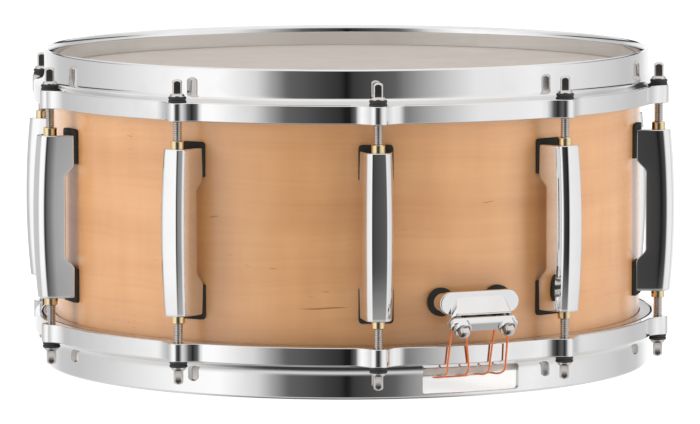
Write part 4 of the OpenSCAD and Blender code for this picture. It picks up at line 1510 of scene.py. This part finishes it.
@dataclass
class Strainer:
    """The throw-off, opposite the butt plate: base, carriage, cam lever, pin and tension knob."""

    width: float = 34.0
    low: float = 60.0
    high: float = 116.0
    front: float = 16.0
    pin_out: float = 20.0
    pin_z: float = 98.0
    pin_r: float = 2.5
    cam_r: float = 7.0
    cam_offset: float = 3.0
    channel: float = 19.0
    mouth: float = 14.4
    channel_back: float = 5.0
    channel_top: float = 109.0
    slide_top: float = 113.0
    neck: Flat = (54.0, 79.0)
    keeper: float = 13.2
    knob_out: float = 9.2
    knob_z: float = 119.0
    lever_top: float = 150.0
    clamp: Clamp = field(default_factory=Clamp)

    def build(self) -> None:
        """Builds every piece at the butt side and turns it to the far side."""
        around = at_angle(180)
        chrome, plated = Finishes.chrome, Finishes.plated
        pieces = (
            (self.base(), "throw_off_base", chrome, "drum", "strainer_base"),
            (self.carriage(), "throw_off_carriage", chrome, "strainer_carriage", "strainer_carriage"),
            (self.lever(), "throw_off_lever", chrome, "strainer_lever", "strainer_lever"),
            (self.pin(), "lever_pin", plated, "drum", "strainer_lever_pin"),
            (self.knob(), "tension_knob", plated, "strainer_knob", "strainer_knob"),
            (self.clamp.bar(), "strainer_clamp_bar", chrome, "strainer_carriage", "strainer_clamp_plate"),
            (self.clamp.screws(), "strainer_key_screws", plated, "strainer_carriage", "strainer_clamp_screws")
        )
        for shape, name, finish, body, node in pieces:
            obj = Placer.show(shape.moved(around), name, finish, body, [node], smooth=32)
            Placer.even_normals(obj)

    def base(self) -> Shape:
        """Returns the base: a back plate, two cheeks with their keepers, and bosses for the lever's pin."""
        cheek = (self.width - self.channel) / 2
        middle = (self.width + self.channel) / 4
        back = 2.45
        side = [
            (back, self.low), (self.front, self.low), (self.front, self.pin_z - 14),
            (self.pin_out + 5, self.pin_z - 6), (self.pin_out + 5, self.pin_z + 4),
            (self.front, self.high - 0.5), (self.front - 2, self.high), (back, self.high)
        ]
        parts = [prism(side, cheek, 0.7, s * middle) for s in (-1, 1)]
        bottom = [
            (back, self.low), (self.channel_back, self.low), (self.channel_back, self.channel_top),
            (back, self.channel_top)
        ]
        parts.append(prism(bottom, self.channel + 1, 0.3))
        lip = (self.channel - self.mouth) / 2
        keeper = [
            (self.keeper, self.low + 0.3), (self.front - 0.3, self.low + 0.3),
            (self.front - 0.3, self.pin_z - 13), (self.keeper, self.pin_z - 12)
        ]
        parts += [prism(keeper, lip + 0.6, 0.3, s * (self.mouth + lip + 0.6) / 2) for s in (-1, 1)]
        return Shape.joined(parts)

    def carriage(self) -> Shape:
        """Returns the slide, its neck, the wedge block for the cords and the prongs round the cam."""
        cam_z = self.pin_z + self.cam_offset
        clear = 0.3
        slide = [
            (self.channel_back + clear, self.low + 1), (self.keeper - clear, self.low + 1),
            (self.keeper - clear, 91), (9.4, 93.5), (9.4, 109.2), (self.keeper - clear, 109.2),
            (self.keeper - clear, self.slide_top), (self.channel_back + clear, self.slide_top)
        ]
        parts = [prism(slide, self.channel - 2 * clear, 0.5)]
        bottom, top = self.neck
        neck = [(6, bottom), (14.4, bottom), (14.4, top), (6, top)]
        parts.append(prism(neck, self.mouth - 2 * clear, 0.4))
        parts.append(self.clamp.block(7.0, self.low - 0.4))
        low_prong = [
            (10, 84), (21.6, 88), (22, 89), (22, cam_z - self.cam_r - 0.4), (10, cam_z - self.cam_r - 0.4)
        ]
        high_prong = [
            (10, cam_z + self.cam_r + 1.2), (22, cam_z + self.cam_r + 1.2), (22, cam_z + self.cam_r + 4.8),
            (10, cam_z + self.cam_r + 4.8)
        ]
        parts += [prism(side, 8.0, 0.5) for side in (low_prong, high_prong)]
        return Shape.joined(parts)

    def lever(self) -> Shape:
        """Returns the lever: an eccentric cam between two hubs, two arms and a curled handle."""
        out, z = self.pin_out, self.pin_z
        turn = Matrix.Rotation(math.radians(90), 4, "Y")
        hub_w, rib = 18.4, 8.8
        arm = (hub_w - rib) / 2
        parts = []
        for s in (-1, 1):
            hub = [(2.56, 0), (6.1, 0), (6.5, 0.4), (6.5, arm - 0.4), (6.1, arm), (2.56, arm)]
            start = rib / 2 if s > 0 else -hub_w / 2
            parts.append(revolve(hub, 48).moved(Matrix.Translation((start, -Shell.radius - out, z)) @ turn))
            side = [(out - 3.6, z + 2), (out + 4.6, z + 2), (out + 4.2, z + 24), (out - 1.6, z + 24)]
            parts.append(prism(side, arm, 0.6, s * (hub_w + rib) / 4))
        cam = [
            (0, 0), (self.cam_r - 0.3, 0), (self.cam_r, 0.3), (self.cam_r, rib - 0.1),
            (self.cam_r - 0.3, rib + 0.2), (0, rib + 0.2)
        ]
        place = Matrix.Translation((-rib / 2 - 0.1, -Shell.radius - out, z + self.cam_offset)) @ turn
        parts.append(revolve(cam, 64, False).moved(place))
        handle = self.handle(out, z)
        return Shape.joined([*parts, handle])

    def handle(self, out: float, z: float) -> Shape:
        """Returns the handle, waisted and curled out at its end."""
        rings = []
        reach = self.clamp.ridge[0] + 6.0
        for t in np.linspace(0, 1, 22):
            height = z + 22.5 + (self.lever_top - z - 22.6) * t
            curl = max(t - 0.55, 0) / 0.45
            middle = out + 1.4 + 1.6 * t + (reach - out - 4.6) * curl * curl
            half = 9.2 - 0.9 * math.sin(math.pi * min(t * 1.25, 1))
            thick = (2.9 - 1.0 * t) * math.sqrt(max(1 - max(t - 0.93, 0) ** 2 / 0.0055, 0.05))
            flat = [(-half, -thick), (half, -thick), (half, thick), (-half, thick)]
            ring = rounded_outline(flat, [min(1.2, thick * 0.8)] * 4, 4)
            rings.append([(x, -Shell.radius - middle - y, height) for x, y in ring])
        return loft(rings)

    def pin(self) -> Shape:
        """Returns the lever's pin, with a low domed head and a riveted end."""
        half = self.width / 2
        outline = [
            (0, -half - 1.0), (2.6, -half - 1.0), (3.6, -half - 0.6), (4.0, -half), (self.pin_r, -half)
        ]
        outline += [(self.pin_r, half), (3.2, half), (3.0, half + 0.4), (2.0, half + 0.6), (0, half + 0.6)]
        turn = Matrix.Rotation(math.radians(90), 4, "Y")
        return revolve(outline, 40, False).moved(
            Matrix.Translation((0, -Shell.radius - self.pin_out, self.pin_z)) @ turn
        )

    def knob(self) -> Shape:
        """Returns the knurled knob and its screw."""
        z, r, count = self.knob_z, 6.0, 120
        rings = []
        for height, grow, depth in (
            (0, -0.7, 0), (0.5, -0.1, 0.2), (1.0, 0, 0.35), (8.6, 0, 0.35), (9.2, -0.15, 0.2), (10, -1.2, 0)
        ):
            ring = []
            for k in range(count):
                a = 2 * math.pi * k / count
                ridge = depth * (0.5 + 0.5 * math.cos(a * 24))
                radius = r + grow - ridge
                ring.append((radius * math.cos(a), radius * math.sin(a), z + height))
            rings.append(ring)
        grip = loft(rings)
        stem = revolve(
            [(0, 64.4), (1.6, 64.4), (2, 65), (2, 113.5), (3.2, 113.5), (3.2, z + 0.2), (0, z + 0.2)], 32,
            False
        )
        return Shape.joined([grip, stem]).moved(Matrix.Translation((0, -Shell.radius - self.knob_out, 0)))


@dataclass
class Snares:
    """Twenty coiled wires, and the two cords at each end that hold their end plates."""

    strands: int = 20
    span: float = 40.0
    coil_r: float = 0.73
    wire_r: float = 0.2
    pitch: float = 1.5
    height: float = 11.45
    start: float = 31.0
    cord_r: float = 0.58
    side: tuple[Flat, ...] = (
        (17.4, 45.4), (15.4, 43.4), (14.1, 41.4), (13.5, 38), (13.2, 28), (12.9, 20), (12.6, 17.2),
        (11.2, 15.1), (8, 13.4), (2, 12), (-8, 11.4), (-15.2, 11.3), (-17.8, 11), (-19, 10.1), (-19.1, 9.4)
    )
    across: tuple[Point, ...] = ((-17, -19.4, -14.5), (-8.4, -6.1, -3), (10.2, 7.4, 7.7), (19, 17.5, 16.5))
    crossings: tuple[tuple[int, int, float, float], ...] = ((0, 2, -17.6, 8.9), (1, 3, -20.7, 8.9))
    slack_keep: float = 0.869
    seed: int = 7

    def build(self) -> None:
        """Builds the wires and both pairs of cords."""
        Placer.show(self.wires(), "coiled_wires", Finishes.wire, "drum", ["snare_wires"], smooth=80)
        cords = Shape.joined(tube(smooth_path(self.route(c), 5), self.cord_r) for c in self.crossings)
        Placer.show(cords, "butt_cord_pair", Finishes.cord, "drum", ["butt_cords"], smooth=80)
        far = Placer.show(
            cords.moved(at_angle(180)), "strainer_cord_pair", Finishes.cord, "drum", ["strainer_cords"],
            smooth=80
        )
        anchor = (0.0, (Shell.radius - self.side[-1][0]) * MM, self.side[-1][1] * MM)
        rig.squash(far, "strainer_carriage_drop", axis=(0, 0, 1), anchor=anchor, keep=self.slack_keep)

    def place_across(self, places: Point, out: float, z: float) -> float:
        """Finds how far across a strand stands.

        Args:
            places: where it stands at the clamp, the flange and the hole.
            out: how far out the point is.
            z: how high the point is.

        Returns:
            The distance across.
        """
        clamp, flange, hole = places
        if z > 20:
            return flange + (clamp - flange) * min(1.0, (z - 20) / 21.4)
        return flange + (hole - flange) * (12.9 - out) / (12.9 - self.side[-1][0])

    def route(self, crossing: tuple[int, int, float, float]) -> list[Point]:
        """Returns one whole cord: down a strand, across under the end plate, and up the other."""
        first, second, out, z = crossing
        down, up = (
            [(self.place_across(self.across[k], o, h), o, h) for o, h in self.side] for k in (first, second)
        )
        a, b, turn = self.across[first][2], self.across[second][2], 1.6
        under = [(a + turn, out, z), ((a + b) / 2, out, z), (b - turn, out, z)]
        return [(x, -Shell.radius - o, h) for x, o, h in [*down, *under, *reversed(up)]]

    def wires(self) -> Shape:
        """Returns all strands as round coils."""
        length = 2 * (Shell.radius - self.start)
        steps = int(length / self.pitch * 7)
        t = np.linspace(0, 1, steps)
        coils = []
        rng = random.Random(self.seed)
        for k in range(self.strands):
            x = (k - (self.strands - 1) / 2) * self.span / self.strands
            turn = 2 * math.pi * (length / self.pitch * t + rng.random())
            y = -length / 2 + length * t
            path = np.stack([x + self.coil_r * np.cos(turn), y, self.height + self.coil_r * np.sin(turn)], 1)
            coils.append(tube(path, self.wire_r, 4))
        return Shape.joined(coils)


# ---------------------------------------------------------------- studio


@dataclass
class Studio:
    """The pale floor, the soft light and the camera."""

    azimuth: float = 23.42
    distance: float = 3.2325
    height: float = 0.432
    pitch: float = 6.047
    yaw: float = -0.036
    roll: float = -0.062
    lens: float = 274.72
    floor_half: float = 6.0
    # Brightness of the studio at each number of degrees to the right of the camera's side.
    panels: tuple[Flat, ...] = (
        (-180, 1.05), (-155, 0.95), (-140, 0.66), (-124, 0.64), (-107, 0.74), (-85, 0.94), (-66, 1.12),
        (-49, 1.18), (-41, 0.98), (-34, 0.81), (-28, 0.42), (-22, 0.14), (-16, 0.11), (-8, 0.06),
        (-2.5, 0.04), (0, 0.01), (2.5, 0.05), (8, 0.075), (18, 0.13), (26, 0.36), (37, 0.66), (49, 0.94),
        (66, 0.98), (75, 1.04), (95, 0.9), (107, 0.8), (120, 0.72), (130, 0.64), (145, 0.68), (160, 1.0),
        (180, 1.05)
    )
    fill: float = 0.62
    lamp_deg: float = 76.0
    lamp_distance: float = 2.0
    lamp_power: float = 22.0
    lamp_size: float = 1.2
    lamp_height: float = 0.35
    lamp_aim: float = 0.1
    floor_glow: float = 0.62
    gap: Colour = (0.05, 0.05, 0.05)
    ceiling: Colour = (1.0, 0.985, 0.97)
    table: Colour = (0.80, 0.79, 0.78)
    shade: Colour = (0.22, 0.21, 0.20)

    def build(self) -> None:
        """Builds the whole studio."""
        self.floor()
        self.light()
        self.camera()
        bpy.context.scene.view_settings.view_transform = "Standard"

    def floor(self) -> None:
        """Lays a pale floor that lights the drum from below but isn't mirrored in its metal."""
        mesh = bpy.data.meshes.new("floor")
        h = self.floor_half
        mesh.from_pydata([(-h, -h, 0), (h, -h, 0), (h, h, 0), (-h, h, 0)], [], [(0, 1, 2, 3)])
        floor = bpy.data.objects.new("floor", mesh)
        bpy.context.scene.collection.objects.link(floor)
        material = bpy.data.materials.new("pale_floor")
        material.use_nodes = True
        surface = material.node_tree.nodes["Principled BSDF"]
        surface.inputs["Base Color"].default_value = (0.9, 0.9, 0.9, 1)
        surface.inputs["Roughness"].default_value = 1.0
        surface.inputs["Emission Color"].default_value = (1, 1, 1, 1)
        surface.inputs["Emission Strength"].default_value = self.floor_glow
        mesh.materials.append(material)
        floor.visible_glossy = False
        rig.stage(floor)

    def light(self) -> None:
        """Lights the drum with a studio of broad panels: dark behind the camera, bright at both sides."""
        world = bpy.data.worlds.new("studio")
        bpy.context.scene.world = world
        world.use_nodes = True
        canvas = Canvas(world.node_tree)
        xyz = canvas.add("ShaderNodeSeparateXYZ")
        canvas.join(canvas.add("ShaderNodeTexCoord").outputs["Generated"], xyz.inputs[0])
        x, y, z = xyz.outputs
        a = math.radians(self.azimuth)
        towards = canvas.math(
            "ADD", canvas.math("MULTIPLY", x, -math.sin(a)), canvas.math("MULTIPLY", y, -math.cos(a))
        )
        aside = canvas.math(
            "ADD", canvas.math("MULTIPLY", x, math.cos(a)), canvas.math("MULTIPLY", y, -math.sin(a))
        )
        turn = canvas.math("DIVIDE", canvas.math("ARCTAN2", aside, towards), math.pi)
        bearing = canvas.math("ABSOLUTE", turn)
        ring = canvas.add("ShaderNodeValToRGB")
        canvas.join(canvas.math("MULTIPLY_ADD", turn, 0.5, 0.5), ring.inputs[0])
        elements = ring.color_ramp.elements
        for i, (degrees, level) in enumerate(self.panels):
            place = degrees / 360 + 0.5
            element = elements[i] if i < 2 else elements.new(place)
            element.position = place
            element.color = (level, level, level, 1)
        behind = canvas.band(bearing, 0.46, 0.60)
        soft_top = canvas.math("MULTIPLY", canvas.band(z, 0.19, 0.25), canvas.band(z, 0.30, 0.38, 1.0, 0.0))
        colour = canvas.mix(canvas.math("MULTIPLY", soft_top, behind), ring.outputs[0], self.gap)
        colour = canvas.mix(canvas.band(z, 0.50, 0.72), colour, self.ceiling)
        colour = canvas.mix(canvas.band(z, -0.5, -0.16, 1.0, 0.0), colour, self.table)
        front = canvas.math(
            "MULTIPLY", canvas.band(z, -0.9, -0.45, 1.0, 0.0), canvas.band(bearing, 0.25, 0.5, 1.0, 0.0)
        )
        colour = canvas.mix(front, colour, self.shade)
        colour = canvas.mix(canvas.band(z, -0.97, -0.84, 1.0, 0.0), colour, self.gap)
        background = world.node_tree.nodes["Background"]
        canvas.join(colour, background.inputs[0])
        ray = canvas.add("ShaderNodeLightPath")
        dim = canvas.math("MULTIPLY_ADD", ray.outputs["Is Diffuse Ray"], self.fill - 1.0, 1.0)
        canvas.join(dim, background.inputs[1])
        seen = canvas.add("ShaderNodeBackground")
        seen.inputs[0].default_value = (1, 1, 1, 1)
        mixer = canvas.add("ShaderNodeMixShader")
        canvas.join(ray.outputs["Is Camera Ray"], mixer.inputs[0])
        canvas.join(background.outputs[0], mixer.inputs[1])
        canvas.join(seen.outputs[0], mixer.inputs[2])
        canvas.join(mixer.outputs[0], world.node_tree.nodes["World Output"].inputs[0])
        for side in (-1, 1):
            self.softbox(side)

    def softbox(self, side: int) -> None:
        """Stands one large soft lamp beside the drum, to the camera's left (-1) or right (1)."""
        data = bpy.data.lights.new("softbox", "AREA")
        data.shape, data.size, data.energy = "SQUARE", self.lamp_size, self.lamp_power
        lamp = bpy.data.objects.new("softbox", data)
        bpy.context.scene.collection.objects.link(lamp)
        lamp.visible_glossy = False
        a = math.radians(side * self.lamp_deg - self.azimuth)
        reach = self.lamp_distance
        place = Vector((reach * math.sin(a), -reach * math.cos(a), self.lamp_height))
        lamp.location = place
        lamp.rotation_euler = (Vector((0, 0, self.lamp_aim)) - place).to_track_quat("-Z", "Y").to_euler()

    def camera(self) -> None:
        """Stands the camera in front of the drum, looking slightly down."""
        data = bpy.data.cameras.new("camera")
        data.lens = self.lens
        data.sensor_width = 36.0
        data.clip_end = 50.0
        camera = bpy.data.objects.new("camera", data)
        bpy.context.scene.collection.objects.link(camera)
        a = math.radians(self.azimuth)
        place = Matrix.Translation((-self.distance * math.sin(a), -self.distance * math.cos(a), self.height))
        look = Matrix.Rotation(math.radians(self.yaw - self.azimuth), 4, "Z")
        tip = Matrix.Rotation(math.radians(90 - self.pitch), 4, "X")
        lean = Matrix.Rotation(math.radians(self.roll), 4, "Z")
        camera.matrix_world = place @ look @ tip @ lean
        bpy.context.scene.camera = camera


KEPT_NODES = {
    "batter_head_hoop": Finishes.aluminium,
    "snare_head_hoop": Finishes.aluminium,
    "mounting_screws": Finishes.zinc,
    "mounting_washers": Finishes.zinc,
    "snare_end_plates": Finishes.wire,
    "strainer_gasket": Finishes.rubber,
}


def main() -> None:
    """Builds the drum round the frame and writes its two boxes."""
    logging.basicConfig(level=logging.INFO, format="%(name)s %(message)s")
    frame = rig.load()
    cad_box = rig.bounds()
    Effects().build()
    Studio().build()
    for assembly in (Shell(), Heads(), Hoop(), Lugs(), Rods(), ButtPlate(), Strainer(), Snares()):
        LOG.info("building %s", type(assembly).__name__)
        assembly.build()
    for node, finish in KEPT_NODES.items():
        finish.dress(frame["nodes"][node])
    bpy.context.view_layer.update()
    boxes = {"cad": cad_box, "visual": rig.bounds()}
    with open(SIZE_FILE, "w") as file:
        json.dump(boxes, file, default=lambda value: [float(v) for v in value])
    LOG.info("%d pieces", len(Placer.made))


if __name__ == "__main__":
    main()
